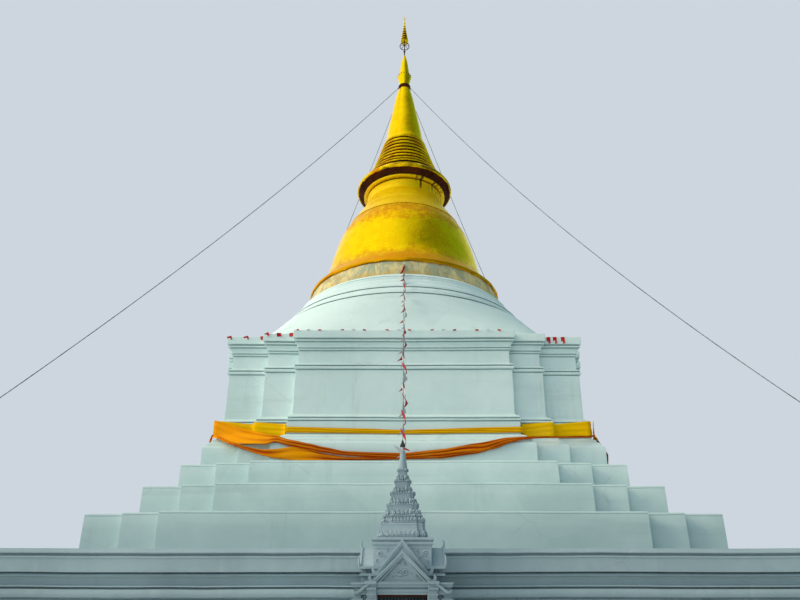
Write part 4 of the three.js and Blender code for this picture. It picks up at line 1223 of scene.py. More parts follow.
class STUPA_OT_stays(bpy.types.Operator):
    """Builds the dark collar, the four wire stays and the blocks that anchor them"""
    bl_idname = "stupa.stays"
    bl_label = "Stays"
    # place, side in x and y, and sag
    corners = (
        ("front_left", -1, -1, 0.8), ("front_right", 1, -1, 1.3), ("rear_left", -1, 1, 1.5),
        ("rear_right", 1, 1, 1.0))

    def execute(self, context):
        head_out, head_height, anchor_at, tail_height = 0.2581, 27.8, 13.38, 3.09
        lug_length = 0.15
        collar_top = COLLAR_FOOT + 0.28
        collar = Mass().turn(profile(
            (0.3, COLLAR_FOOT + 0.002), (0.325, COLLAR_FOOT + 0.015), (0.33, COLLAR_FOOT + 0.06),
            (0.305, COLLAR_FOOT + 0.075), (0.305, collar_top - 0.075), (0.33, collar_top - 0.06),
            (0.322, collar_top - 0.012), (0.21, collar_top)), 64)
        for place, x, y, sag in self.corners:
            head = Vector((x * head_out, y * head_out, head_height))
            tail = Vector((x * anchor_at, y * anchor_at, tail_height))
            belly = (head + tail) / 2 - Vector((0, 0, 2 * sag))
            down = (belly - head).normalized()
            back = (belly - tail).normalized()
            collar.tube(
                [head - down * lug_length, head - down * 0.03, head - down * 0.015, head],
                [0.026, 0.026, 0.022, 0.015], 12)
            self.anchor(place, tail, back)
            rope = self.rope("stay_rope_" + place, head, belly, tail)
            settle(rope, "steel_wire", "stay_" + place)
        settle(collar.piece("collar_dressed", "dark_paint", 0.006), "dark_paint", "stay_collar")
        return {"FINISHED"}

    def anchor(self, place, tail, back):
        """A block on the terrace's corner, with the eye that the stay ends in."""
        half, foot, top = 0.18, TERRACE_TOP - 0.03, TERRACE_TOP + 0.2
        steps = ((0, foot), (0, foot + 0.08), (0, top - 0.06), (-0.06, top))
        outline = [
            [(tail.x + p.x, tail.y + p.y, z) for p in square_outline(half + reach)] for reach, z in steps]
        block = Mass().loft(outline).stray(sizes().wander * 0.3)
        settle(
            block.piece("anchor_block_" + place, "terrace_wash", 0.012), "grey_whitewash",
            "stay_anchor_" + place)
        eye = Mass().tube([tail - back * 0.16, tail - back * 0.03, tail], [0.026, 0.026, 0.018], 12)
        for along, radius in ((-0.13, 0.034), (-0.045, 0.032)):
            eye.tube([tail + back * (along - 0.012), tail + back * (along + 0.012)], radius, 12)
        settle(eye.piece("anchor_eye_" + place, "ironwork"), "iron")

    def rope(self, name, head, belly, tail):
        """A stranded rope: a lobed section carried along the stay with a twist."""
        strands, strand_faces = 6, 3
        around = strands * strand_faces
        p = Pattern(name)
        path = p.add("GeometryNodeCurveQuadraticBezier", {
            "Resolution": 24, "Start": p.size("Head", head, "Vector"),
            "Middle": p.size("Belly", belly, "Vector"),
            "End": p.size("Tail", tail, "Vector")})[0]
        fine = p.add(
            "GeometryNodeResampleCurve", {"Curve": path, "Length": p.size("Spacing", 0.07)},
            mode="LENGTH")[0]
        index = p.add("GeometryNodeInputIndex")[0]
        twisted = p.add("GeometryNodeSetCurveTilt", {
            "Curve": fine, "Tilt": p.math("MULTIPLY", index, p.size("Twist", 0.42))})[0]
        radius = p.size("Radius", sizes().rope_radius)
        circle = p.add("GeometryNodeCurvePrimitiveCircle", {"Resolution": around, "Radius": 1.0})[0]
        turn = p.math("MULTIPLY", p.add("GeometryNodeInputIndex")[0], 2 * math.pi / around)
        lobe = p.math("MULTIPLY_ADD", p.math("COSINE", p.math("MULTIPLY", turn, strands), 0), 0.12)
        lobe.node.inputs[2].default_value = 0.88
        place = p.add("GeometryNodeInputPosition")[0]
        reach = p.add(
            "ShaderNodeVectorMath", {0: place, "Scale": p.math("MULTIPLY", lobe, radius)},
            operation="SCALE")[0]
        section = p.add("GeometryNodeSetPosition", {"Geometry": circle, "Position": reach})[0]
        skin = p.add(
            "GeometryNodeCurveToMesh", {"Curve": twisted, "Profile Curve": section, "Fill Caps": True})[0]
        return p.piece(name, skin, "wire_rope", sharp=60)


# The gate's own sizes

GATE_FRONT = -15.3
GATE_BACK = -13.25
NICHE_BACK = -13.9
GATE_HALF = 0.91
DOOR_HALF = 0.47
DOOR_HEAD = 1.8
SILL_TOP = 0.12
ROOF_FOOT = 2.02
ATTIC_HALF = 0.568
ATTIC_CORNICE_TOP = 2.89
GATE_WANDER = 0.004


def plastered(mass, name, node, arris=0.005, wander=GATE_WANDER):
    """A piece of the gate in its blue-grey wash, in the place of a frame node."""
    return settle(mass.stray(wander).piece(name, "gate_wash", arris), "grey_whitewash", node)


def bayed_outline(half):
    """A square with one shallow bay on each side."""
    inner, flat = half * 0.62, half * 0.88
    side = [(-flat, -flat), (-inner, -flat), (-inner, -half), (inner, -half), (inner, -flat)]
    return [turn.to_2x2() @ Vector(p) + Vector((0, GATE_AXIS)) for turn in QUARTER_TURNS for p in side]


def scroll(mass, centre, size, way, thickness, turns, tail=None):
    """A spiral of moulded plaster on a wall that faces the front, with an optional stem to a point."""
    x, y, z = centre
    steps = 26
    path = []
    for k in range(steps + 1):
        share = k / steps
        angle = way * (share * turns * 2 * math.pi + 0.6)
        reach = size * (1 - share) ** 0.8
        path.append((x + reach * math.cos(angle), y, z + reach * math.sin(angle)))
    if tail:
        start = Vector(path[0])
        rise = Vector((0, 0, 0.25 * size))
        stem = [Vector(tail).lerp(start, k / 5) + rise * math.sin(math.pi * k / 5) for k in range(5)]
        path = stem + path
    count = len(path)
    swell = [math.sin(math.pi * min(1, 0.12 + k / count)) for k in range(count)]
    mass.tube(path, [thickness * (0.45 + 0.55 * share) for share in swell], 7)


def flame(height, width, depth):
    """A pointed leaf that stands on a ledge, with a raised rib."""
    mass = Mass()
    outline = [(-0.42, 0), (-0.5, 0.28), (-0.3, 0.6), (0, 1), (0.3, 0.6), (0.5, 0.28), (0.42, 0)]
    mass.prism([(x * width, z * height) for x, z in reversed(outline)], -depth * 0.6, depth * 0.5)
    inner = [(-0.16, 0.08), (0, 0.72), (0.16, 0.08)]
    mass.prism([(x * width, z * height) for x, z in reversed(inner)], -depth, -depth * 0.5)
    return mass.mesh("flame_leaf", 50)


class STUPA_OT_gate(bpy.types.Operator):
    """Builds the gate's piers, lintel, niche, gables, wings and attic"""
    bl_idname = "stupa.gate"
    bl_label = "Gate"

    def execute(self, context):
        self.piers()
        self.niche()
        self.lintel()
        self.gables()
        self.wings()
        self.attic()
        return {"FINISHED"}

    def piers(self):
        """The stepped piers, with their bands, capitals and panels, and petals round the capitals."""
        outline = [
            (DOOR_HALF, GATE_FRONT), (0.64, GATE_FRONT), (0.64, GATE_FRONT + 0.09),
            (0.77, GATE_FRONT + 0.09), (0.77, GATE_FRONT + 0.03), (GATE_HALF, GATE_FRONT + 0.03),
            (GATE_HALF, GATE_BACK), (DOOR_HALF, GATE_BACK)]
        bands = (
            (0.0, 0.2, 0.05), (0.2, 0.235, 0.035), (0.235, 0.28, 0.045), (0.28, 0.31, 0.02),
            (1.42, 1.44, 0.012), (1.5, 1.56, 0.026), (1.56, 1.59, 0.012), (1.62, 1.67, 0.03),
            (1.67, 1.695, 0.018), (1.695, 1.735, 0.04))
        capital = (
            (1.735, 2.04, 0.026), (1.78, 1.825, 0.04), (1.865, 1.885, 0.036), (1.885, 1.93, 0.05),
            (1.93, 1.948, 0.038), (1.985, 2.045, 0.066))
        for name, side in (("left", -1), ("right", 1)):
            mass = Mass()
            corners = [(x * side, y) for x, y in outline]
            corners = corners if side > 0 else corners[::-1]
            mass.loft([[(x, y, z) for x, y in corners] for z in (0, DOOR_HEAD)])

            def applied(x0, x1, y0, y1, z0, z1):
                left, right = sorted((x0 * side, x1 * side))
                mass.box(left, right, y0, y1, z0, z1)

            for z0, z1, reach in bands:
                applied(
                    DOOR_HALF + 0.002, 0.64 + reach, GATE_FRONT - reach, GATE_FRONT + 0.07, z0 + 0.001, z1)
                applied(
                    0.77 - reach, GATE_HALF + reach, GATE_FRONT + 0.03 - reach, GATE_FRONT + 0.3,
                    z0 + 0.001, z1)
            for z0, z1, reach in capital:
                applied(
                    DOOR_HALF + 0.012, 0.63 + reach, GATE_FRONT - reach - 0.02, GATE_FRONT + 0.03, z0, z1)
            applied(0.5, 0.61, GATE_FRONT - 0.012, GATE_FRONT + 0.01, 0.4, 1.36)
            applied(0.8, 0.88, GATE_FRONT + 0.018, GATE_FRONT + 0.04, 0.4, 1.36)
            plastered(mass, f"gate_{name}_pier_dressed", f"gate_{name}_pier", 0.007)
        paths = []
        for x0, x1, y in ((0.47, 0.66, GATE_FRONT - 0.02), (0.75, 0.93, GATE_FRONT + 0.01)):
            paths += [([(s * x0, y, 1.59), (s * x1, y, 1.59)][::s], False) for s in (-1, 1)]
        petals = repeated("capital_petals", paths, flame(0.085, 0.062, 0.035), "gate_wash", 0.058)
        settle(petals, "grey_whitewash")

    def niche(self):
        """The sill with its doorstep, and the wall at the niche's back with its panel."""
        sill = Mass().box(-DOOR_HALF, DOOR_HALF, GATE_FRONT, NICHE_BACK, 0, SILL_TOP)
        sill.box(-DOOR_HALF, DOOR_HALF, GATE_FRONT - 0.05, GATE_FRONT, 0, 0.06)
        plastered(sill, "gate_sill_dressed", "gate_sill", 0.008, 0)
        wall = Mass().box(-DOOR_HALF, DOOR_HALF, NICHE_BACK, GATE_BACK, 0, DOOR_HEAD)
        wall.box(-0.4, 0.4, NICHE_BACK - 0.015, NICHE_BACK, 0.2, 1.66)
        plastered(wall, "gate_back_dressed", "gate_back_wall", 0.008, 0)

    def lintel(self):
        """The moulded slab over the piers and the dark board at the doorway's head."""
        steps = profile(
            (0, DOOR_HEAD), (0, 1.848), (0.012, 1.85), (0.012, 1.9), (-0.012, 1.905), (-0.012, 1.922),
            (0.018, 1.93), (0.024, 1.94), (0.045, 1.985, -0.008), (0.05, 1.99), (0.05, ROOF_FOOT))
        rings = []
        for reach, z in steps:
            half, front = GATE_HALF + reach, GATE_FRONT - reach
            rings.append([(-half, front, z), (half, front, z), (half, GATE_BACK, z), (-half, GATE_BACK, z)])
        mass = Mass().loft(rings)
        head = Mass().box(-0.465, 0.465, GATE_FRONT + 0.02, GATE_FRONT + 0.05, 1.77, 1.815)
        settle(head.piece("door_head_board", "dark_paint", 0.004), "dark_paint")
        plastered(mass, "gate_lintel_dressed", "gate_lintel")

    def gables(self):
        """Two gables, one behind the other, with curled feet, a knob at the apex and scrolls."""
        front, middle = GATE_FRONT, GATE_FRONT + 0.18
        back = GATE_AXIS - ATTIC_HALF + 0.05
        mass = Mass()
        mass.prism([(-0.6, ROOF_FOOT - 0.01), (0.6, ROOF_FOOT - 0.01), (0, 2.8)], middle + 0.03, back)
        mass.prism(
            [(-0.53, ROOF_FOOT - 0.01), (0.53, ROOF_FOOT - 0.01), (0, 2.53)], front + 0.03, middle + 0.06)
        for apex, foot, half, y in ((2.55, 2.045, 0.52, front - 0.03), (2.785, 2.2, 0.47, middle)):
            for side in (-1, 1):
                foot_x = half * side
                slope = (apex - foot) / half
                curl = ((0, 0), (0.04, -0.015), (0.085, 0.01), (0.1, 0.065), (0.075, 0.13))
                tip = [(foot_x + out * side, foot + up) for out, up in curl]
                rake = [(foot_x * (1 - k / 6), foot + slope * half * k / 6) for k in range(6, 0, -1)]
                mass.board(
                    rake + tip, [0.036] * len(rake) + [0.038, 0.038, 0.036, 0.028, 0.005], y, y + 0.06)
                lined = [(x, z + 0.02) for x, z in rake + tip[:1]]
                mass.board(lined, 0.013, y - 0.014, y + 0.01)
                inner = [(x * 0.93, z - 0.065) for x, z in rake + tip[:1]]
                mass.board(inner, 0.012, y + 0.018, y + 0.05)
            knob = [(0, y + 0.02, apex - 0.02), (0, y + 0.016, apex + 0.03), (0, y + 0.006, apex + 0.055)]
            mass.tube(knob, [0.03, 0.02, 0.006], 8)
        mass.box(-0.54, 0.54, front - 0.012, front + 0.04, ROOF_FOOT, ROOF_FOOT + 0.03)
        for side in (-1, 1):
            run = ((0.56, 2.04), (0.7, 1.945), (0.8, 1.868), (0.85, 1.84), (0.9, 1.85), (0.915, 1.9))
            eave = [(x * side, z) for x, z in run]
            mass.board(eave, [0.02, 0.026, 0.026, 0.024, 0.018, 0.004], front - 0.075, front - 0.02)
            face = front + 0.022
            scroll(mass, (0.055 * side, face, 2.2), 0.062, side, 0.015, 1.5, (0.2 * side, face, 2.13))
            scroll(mass, (0.27 * side, face, 2.15), 0.04, -side, 0.011, 1.3, (0.36 * side, face, 2.1))
            scroll(mass, (0.045 * side, face, 2.37), 0.032, -side, 0.009, 1.2)
        plastered(mass, "gate_gables_dressed", "gate_gables")

    def wings(self):
        """The gate's side roofs, each with a bent board, two curled eaves and a horn."""
        section = [
            (-0.43, ROOF_FOOT - 0.01), (-0.43, 2.14), (-0.5, 2.155), (-0.5, 2.195), (-0.46, 2.2),
            (-0.46, 2.285), (-0.5, 2.295), (-0.5, 2.335), (-0.33, 2.45), (-0.17, 2.585), (0, 2.735)]
        section += [(-y, z) for y, z in section[-2::-1]]
        slope = section[7:14]
        inner, outer = ATTIC_HALF - 0.03, 0.81
        board = ((outer, -0.04), (0.85, -0.04), (0.85, 0.03), (outer, 0.03))
        for name, side in (("left", -1), ("right", 1)):
            mass = Mass()
            ends = (outer * side, inner * side) if side > 0 else (inner * side, outer * side)
            mass.loft([[(x, GATE_AXIS + y, z) for y, z in section] for x in ends])
            rows = [
                [(side * x, GATE_AXIS + y * 1.02, z + lift) for x, lift in board][::side] for y, z in slope]
            mass.loft(rows[::-1])
            for y, lean in ((-0.5, -0.05), (0.5, 0.05)):
                z = 2.33
                path = [
                    (side * 0.83, GATE_AXIS + y * 0.96, z - 0.03),
                    (side * 0.845, GATE_AXIS + y + lean * 0.6, z + 0.03),
                    (side * 0.85, GATE_AXIS + y + lean, z + 0.13),
                    (side * 0.84, GATE_AXIS + y + lean * 0.8, z + 0.23)]
                mass.tube(flowing(path, 4), [0.03 - 0.0018 * k for k in range(13)], 8)
            horn = [
                (side * x, GATE_AXIS, z) for x, z in ((0.8, 2.7), (0.84, 2.76), (0.85, 2.84), (0.82, 2.9))]
            mass.tube(flowing(horn, 4), [0.034 - 0.0022 * k for k in range(13)], 8)
            near, far = sorted((side * 0.45, side * 0.83))
            for z0, z1, out in ((2.155, 2.2, 0.6), (2.285, 2.335, 0.62)):
                mass.box(near, far, GATE_AXIS - out, GATE_AXIS - 0.5, z0, z1)
            for reach in (0.64, 0.73):
                x, y = side * reach, GATE_AXIS - 0.505
                mass.box(x - 0.012, x + 0.012, y, y + 0.02, 2.2, 2.315)
            plastered(mass, f"gate_{name}_wing_dressed", f"gate_{name}_wing")

    def attic(self):
        """The block under the spire, with its cornice and scrolls on its four faces."""
        steps = profile(
            (0.0, ROOF_FOOT - 0.01), (0.0, 2.735), (0.012, 2.742), (0.03, 2.76, 0.004), (0.03, 2.8),
            (0.006, 2.806), (0.006, 2.818), (0.04, 2.838, -0.006), (0.046, 2.842), (0.046, 2.885),
            (0.03, ATTIC_CORNICE_TOP))
        mass = Mass().loft([
            [(p.x, p.y, z) for p in square_outline(ATTIC_HALF + reach, GATE_AXIS)] for reach, z in steps])
        face = GATE_AXIS - ATTIC_HALF - 0.003
        for side in (-1, 1):
            mass.box(side * 0.36 - 0.17, side * 0.36 + 0.17, face - 0.008, face + 0.01, 2.68, 2.7)
            scroll(mass, (0.44 * side, face, 2.58), 0.055, side, 0.016, 1.5, (0.3 * side, face, 2.46))
            scroll(mass, (0.3 * side, face, 2.64), 0.035, -side, 0.012, 1.3)
            scroll(mass, (0.5 * side, face, 2.44), 0.035, -side, 0.011, 1.2)
        for turn in QUARTER_TURNS[1:]:
            for offset in (-0.3, 0.3):
                wall = Mass()
                depth = -ATTIC_HALF - 0.003
                way = 1 if offset > 0 else -1
                scroll(wall, (offset, depth, 2.6), 0.06, way, 0.016, 1.5, (offset * 0.5, depth, 2.48))
                start = len(mass.points)
                mass.points.extend(turn @ p + Vector((0, GATE_AXIS, 0)) for p in wall.points)
                mass.faces.extend(tuple(i + start for i in ids) for ids in wall.faces)
                mass.chart.extend(wall.chart)
        plastered(mass, "gate_attic_dressed", "gate_attic")


class STUPA_OT_gate_spire(bpy.types.Operator):
    """Builds the gate's spire of small tiers with standing leaves, and its tip"""
    bl_idname = "stupa.gate_spire"
    bl_label = "Gate Spire"
    # half width, foot and top of each tier
    tiers = (
        (0.49, 2.89, 3.21), (0.45, 3.21, 3.34), (0.36, 3.34, 3.58), (0.275, 3.58, 3.83), (0.18, 3.83, 4.09),
        (0.11, 4.09, 4.33))

    def execute(self, context):
        shares = (
            (0.98, -0.02), (1.0, 0.0), (1.0, 0.13), (0.955, 0.16), (0.97, 0.24), (0.925, 0.29),
            (0.89, 0.38), (0.87, 0.5), (0.87, 0.8), (0.9, 0.86), (0.9, 0.95), (0.84, 1.0))
        levels = []
        for half, foot, top in self.tiers:
            swell = 0.09 if foot < 3 else 0
            for wide, up in shares:
                levels.append(
                    (half * (wide + swell * math.sin(math.pi * max(0, up))), foot + (top - foot) * up))
        rings = [[(p.x, p.y, z) for p in bayed_outline(half)] for half, z in levels]
        mass = Mass().loft(rings)
        for half, foot, top in self.tiers[:4]:
            rise = top - foot
            for side in (-1, 1):
                centre = (side * half * 0.3, GATE_AXIS - half * 0.84, foot + rise * 0.66)
                scroll(mass, centre, rise * 0.13, side, rise * 0.045, 1.3)
        plastered(mass, "gate_tiers_dressed", "gate_spire_tiers", 0.004, 0.006)
        for i, (half, foot, top) in enumerate(self.tiers):
            rise = top - foot
            tall = min(0.1, rise * 0.62)
            ledge = [(p.x, p.y, foot + rise * 0.13) for p in bayed_outline(half * 0.965)]
            leaf = flame(tall, tall * 0.82, tall * 0.35)
            leaves = repeated(
                f"gate_leaves_{i + 1}", [(ledge, True)], leaf, "gate_wash", tall * 0.86,
                sway=(0.08, 0.05, 0.05),
                seed=i)
            settle(leaves, "grey_whitewash")
            crest = [(p.x, p.y, foot + rise * 0.94) for p in bayed_outline(half * 0.87)]
            small = flame(tall * 0.5, tall * 0.5, tall * 0.3)
            row = repeated(
                f"gate_crest_{i + 1}", [(crest, True)], small, "gate_wash", tall * 0.52, seed=i + 9)
            settle(row, "grey_whitewash")
        tip = Mass().turn(flowing([
            (0.095, 4.31), (0.108, 4.345), (0.1, 4.365), (0.095, 4.4), (0.078, 4.52), (0.058, 4.67),
            (0.052, 4.72), (0.044, 4.745), (0.04, 4.766), (0.03, 4.785), (0.014, 4.8),
            (0.004, 4.82)], 4), 28, (0, GATE_AXIS))
        settle(tip.piece("gate_tip_dressed", "gate_wash"), "grey_whitewash", "gate_spire_tip")
        return {"FINISHED"}


class STUPA_OT_leaves(bpy.types.Operator):
    """Builds the pair of barred leaves in the gate"""
    bl_idname = "stupa.leaves"
    bl_label = "Gate Leaves"

    def execute(self, context):
        for name, side in (("left", -1), ("right", 1)):
            mass = Mass()
            low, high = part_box(f"gate_{name}_leaf")
            back, face = -15.12, -15.08
            outer, inner, foot, head = 0.452, 0.008, 0.15, 1.785
            middle = (back + face) / 2

            def rail(x0, x1, z0, z1, inset=0.0):
                left, right = sorted((side * x0, side * x1))
                mass.box(left, right, back + inset, face - inset, z0, z1)

            rail(outer - 0.04, outer, foot, head)
            rail(inner, inner + 0.04, foot, head)
            for z in (foot, 0.94, head - 0.04):
                rail(inner + 0.04, outer - 0.04, z, z + 0.04, 0.003)
            frame_piece = mass.piece(f"gate_{name}_leaf_frame", "ironwork", 0.004)
            settle(frame_piece, "iron", f"gate_{name}_leaf", body=f"{name}_leaf")

            bars = Mass()
            bars.tube(
                [(side * outer, face, low.z + 0.001), (side * outer, face, high.z - 0.001)], 0.012, 12)
            count = 5
            for i in range(1, count + 1):
                x = side * (inner + 0.04 + (outer - inner - 0.08) * i / (count + 1))
                bars.tube([(x, middle, foot + 0.02), (x, middle, head - 0.02)], 0.008, 8)
                for z in (0.42, 0.68, 1.2, 1.52):
                    bead = [
                        (0.009, z - 0.014), (0.0135, z - 0.008), (0.0135, z + 0.008), (0.009, z + 0.014)]
                    bars.turn(bead, 8, (x, middle))
            angles = [2 * math.pi * k / 16 for k in range(17)]
            pull = [
                (side * 0.03 + 0.022 * math.cos(a), back - 0.004, 1.06 + 0.03 * math.sin(a))
                for a in angles]
            bars.tube(pull, 0.0035, 6)
            settle(bars.piece(f"gate_{name}_leaf_bars", "ironwork"), "iron", body=f"{name}_leaf")
        return {"FINISHED"}


# Cloth and flags

def between(stations, x):
    """The values at x on a line through [x, ...values] stations."""
    for a, b in zip(stations, stations[1:]):
        if a[0] <= x <= b[0]:
            share = (x - a[0]) / (b[0] - a[0])
            share = share * share * (3 - 2 * share) * 0.35 + share * 0.65
            return [p + (q - p) * share for p, q in zip(a[1:], b[1:])]
    return stations[-1][1:] if x > stations[-1][0] else stations[0][1:]


CLOTH_GAP = 0.014
CHART_WIDTH = 0.6


def draped(name, columns, pleats, seed, rows=16, full=0.62):
    """A sheet from columns of (place, outward, low, high). It is pleated where it is narrower than `full`."""
    points = []
    fold_shades = []
    chart = []
    along = 0.0
    before = None
    depth = sizes().fold
    for place, outward, low, high in columns:
        if before is not None:
            along += (place - before).length
        before = place
        width = high - low
        gather = min(1, max(0.12, 1.12 - width / full))
        drift = noise.noise(Vector((along * 0.33, seed, 0))) * 1.1 + along * 0.05
        for j in range(rows + 1):
            t = j / rows
            ripple = noise.noise(Vector((along * 0.8, t * 2.2, seed + 4)))
            wave = math.cos(2 * math.pi * (pleats * t + drift + 0.25 * ripple))
            edge = math.sin(math.pi * t) ** 0.5
            lift = depth * gather * (0.5 + 0.5 * wave) * (0.35 + 0.65 * edge) + 0.012 * ripple
            bunch = 0.12 * width * gather * math.sin(2 * math.pi * (pleats * t + drift)) / pleats * edge
            place_up = Vector((place.x, place.y, low + width * t + bunch))
            points.append(place_up + Vector((outward.x, outward.y, 0)) * (lift + CLOTH_GAP))
            # Painted shade for the cloth: in the pleats' hollows, and deeper colour where the cloth gathers
            # in layers.
            fold_shades.append(gather * (0.5 - 0.5 * wave) * 0.7 + 0.8 * max(0, gather - 0.4))
            chart.append((along, t * CHART_WIDTH))
    mass = Mass()
    mass.points = points
    count = rows + 1
    for i in range(len(columns) - 1):
        for j in range(rows):
            a = i * count + j
            ids = (a, a + count, a + count + 1, a + 1)
            mass.face(ids, [chart[k] for k in ids])
    mesh = mass.mesh(name, 60)
    crease = mesh.attributes.new("crease", "FLOAT", "POINT")
    crease.data.foreach_set("value", fold_shades)
    return mesh


def hung(name, mesh, finish_name, turn):
    """The sheet as an object with a little thickness, turned to its side of the stupa."""
    mesh.transform(turn.to_4x4())
    mesh.materials.append(finish(finish_name))
    made = placed(name, mesh)
    cloth = made.modifiers.new("Cloth", "SOLIDIFY")
    cloth.thickness = 0.005
    cloth.offset = 1
    return made


SIDE_NAMES = ("front", "right", "rear", "left")


class STUPA_OT_yellow_cloth(bpy.types.Operator):
    """Hangs the yellow cloth along the bays of the plinth, one length a side"""
    bl_idname = "stupa.yellow_cloth"
    bl_label = "Yellow Cloth"

    def execute(self, context):
        # low and high edge at each corner of the plan's side, and in the middle of the centre bay
        corner, bay, recess = (7.08, 7.65), (7.04, 7.53), (7.03, 7.46)
        edge, middle = (7.08, 7.29), (7.03, 7.17)
        heights = (corner, bay, bay, recess, edge, middle, edge, recess, bay, bay, corner)
        side = BODY.side(CLOTH_REACH + 0.004)
        turned_corner = QUARTER_TURNS[1].to_2x2() @ side[0]
        corners = [*side[:5], Vector((0, side[4].y)), *side[5:], turned_corner]
        hollow = (1, 3, 7, 9)
        path = []
        for i, place in enumerate(corners):
            back = 0.11 if i in hollow else 0.018
            near = [corners[k] for k in (i - 1, i + 1) if 0 <= k < len(corners)]
            ends = [place + (other - place).normalized() * back for other in near] if i != 5 else [place]
            path.extend((end, heights[i]) for end in (ends if i else ends[:1]))
        columns = []
        for (a, (low_a, high_a)), (b, (low_b, high_b)) in zip(path, path[1:]):
            run = b - a
            outward = Vector((run.y, -run.x)).normalized()
            parts = max(1, round(run.length / 0.12))
            for k in range(parts):
                share = k / parts
                low = low_a + (low_b - low_a) * share
                high = high_a + (high_b - high_a) * share
                columns.append([a + run * share, outward, low, high])
        columns.append([path[-1][0], columns[-1][1], *path[-1][1]])
        softened = [c[1] for c in columns]
        for i in range(1, len(columns) - 1):
            columns[i][1] = (softened[i - 1] + softened[i] + softened[i + 1]).normalized()
        for k, (name, turn) in enumerate(zip(SIDE_NAMES, QUARTER_TURNS)):
            mesh = draped(name, columns, 2.6, 11.0 + k)
            piece = hung("yellow_cloth_" + name, mesh, "yellow_cloth", turn)
            settle(piece, "yellow_fabric", *(("yellow_cloth",) if k == 0 else ()))
        return {"FINISHED"}


SHOULDER_BEND = 6.65


def taut_front(x, z):
    """The y of a cloth drawn tight over the front, from corner to corner and over the centre bay."""
    share = min(1, max(0, (z - SHOULDER_BEND) / (PLINTH_FOOT + 0.1 - SHOULDER_BEND)))
    reach = 0.2
    wrap = SHOULDER.towards(
        Plan(BODY.centre + reach, BODY.middle + reach, BODY.outer + reach, BODY_BAYS), share)
    clearance = 0.064 - 0.036 * share
    corner, centre = wrap.outer + clearance, wrap.centre + clearance
    far = corner + sum(BODY_BAYS)
    if abs(x) <= centre:
        return -far
    return -(corner + (far - corner) * max(0, corner - abs(x)) / (corner - centre))


class STUPA_OT_orange_cloth(bpy.types.Operator):
    """Hangs the orange cloth in swags from corner to corner, an upper and a lower fold a side"""
    bl_idname = "stupa.orange_cloth"
    bl_label = "Orange Cloth"
    # x along the side, low edge, high edge
    upper = (
        (-6.5, 7.02, 7.66), (-6.36, 7.0, 7.62), (-5.83, 6.72, 7.44), (-5.35, 6.66, 7.27),
        (-4.88, 6.62, 7.14), (-4.38, 6.58, 6.97), (-4.2, 6.66, 6.91), (-3.71, 6.52, 6.75),
        (-3.1, 6.38, 6.61), (-2.55, 6.29, 6.48), (-1.9, 6.2, 6.35), (-0.93, 6.14, 6.31), (0.0, 6.11, 6.29),
        (1.17, 6.15, 6.41), (2.48, 6.33, 6.63), (3.36, 6.64, 6.83), (3.81, 6.75, 6.87), (4.85, 6.86, 6.95),
        (6.25, 7.0, 7.09), (6.5, 7.08, 7.15))
    lower = (
        (-6.3, 6.98, 7.1), (-5.67, 6.64, 6.75), (-5.19, 6.44, 6.56), (-4.73, 6.28, 6.44),
        (-4.48, 6.19, 6.41), (-4.16, 6.12, 6.42), (-3.58, 6.06, 6.5), (-3.09, 6.05, 6.4),
        (-2.54, 6.05, 6.26), (-1.89, 6.05, 6.17), (-1.0, 6.06, 6.15), (0.0, 6.08, 6.16), (1.17, 6.11, 6.2),
        (2.3, 6.26, 6.36), (2.9, 6.42, 6.53), (3.5, 6.65, 6.72), (4.0, 6.78, 6.82))

    def execute(self, context):
        rows = (
            ("upper", self.upper, 2.4, 0.7, (0.38, 13.2), 0.012),
            ("lower", self.lower, 1.6, 0.5, (0.24, 10.5), 0.0))
        for k, (name, turn) in enumerate(zip(SIDE_NAMES, QUARTER_TURNS)):
            for fold, stations, pleats, full, flat, out in rows:
                columns = []
                first, last = stations[0][0], stations[-1][0]
                parts = round((last - first) / 0.11)
                for i in range(parts + 1):
                    x = first + (last - first) * i / parts
                    low, high = between(stations, x)
                    columns.append((x, low, high))
                mesh = self.swag(fold + name, columns, pleats, full, 3.0 * k + len(fold), out)
                piece = hung(f"orange_cloth_{fold}_{name}", mesh, "orange_cloth", turn)
                settle(piece, "orange_fabric", *(("orange_cloth",) if k == 0 and fold == "upper" else ()))
        return {"FINISHED"}

    def swag(self, name, columns, pleats, full, seed, out):
        """A fold of the orange cloth, which follows the taut surface and stands off it in pleats."""
        flat = [(Vector((x, 0)), Vector((0, -1)), low, high) for x, low, high in columns]
        mesh = draped(name, flat, pleats, seed, 18, full)
        for vertex in mesh.vertices:
            x, lift, z = vertex.co.x, -vertex.co.y, vertex.co.z
            y = taut_front(x, z) - lift - out
            turn = Vector((0.35 * max(-1, min(1, x / 6.5)), -1)).normalized()
            vertex.co = (x + turn.x * lift * 0.6, y, z)
        return mesh


STRING_HEAD = Vector((0, -4.428, 14.85))
STRING_TAIL = Vector((0, -14.35, 4.825))
STRING_SAG = 0.35
STRING_RADIUS = 0.006


def string_point(share):
    """A point on the sagging string, from the gilded band to the gate's tip."""
    belly = (STRING_HEAD + STRING_TAIL) / 2 - Vector((0, 0, 2 * STRING_SAG))
    return (STRING_HEAD * (1 - share) ** 2 + belly * 2 * share * (1 - share) + STRING_TAIL * share ** 2)


def flag_shape(name, width, drop, slope, curl):
    """A thin curling flag under a string that runs along X and falls by `slope`."""
    mass = Mass()
    rings = []
    rows, parts = 6, 4
    for j in range(rows, -1, -1):
        t = j / rows
        line = []
        for i in range(parts + 1):
            s = i / parts
            x = (s - 0.5) * width * (1 - 0.12 * t)
            y = curl * t * math.sin(2.1 * s + 1.4 * t) - 0.5 * curl * t
            line.append(Vector((x, y, slope * (s - 0.5) * width - drop * t)))
        thick = Vector((0, 0.002, 0))
        rings.append([p - thick for p in line] + [p + thick for p in reversed(line)])
    return mass.loft(rings).mesh(name, 70)


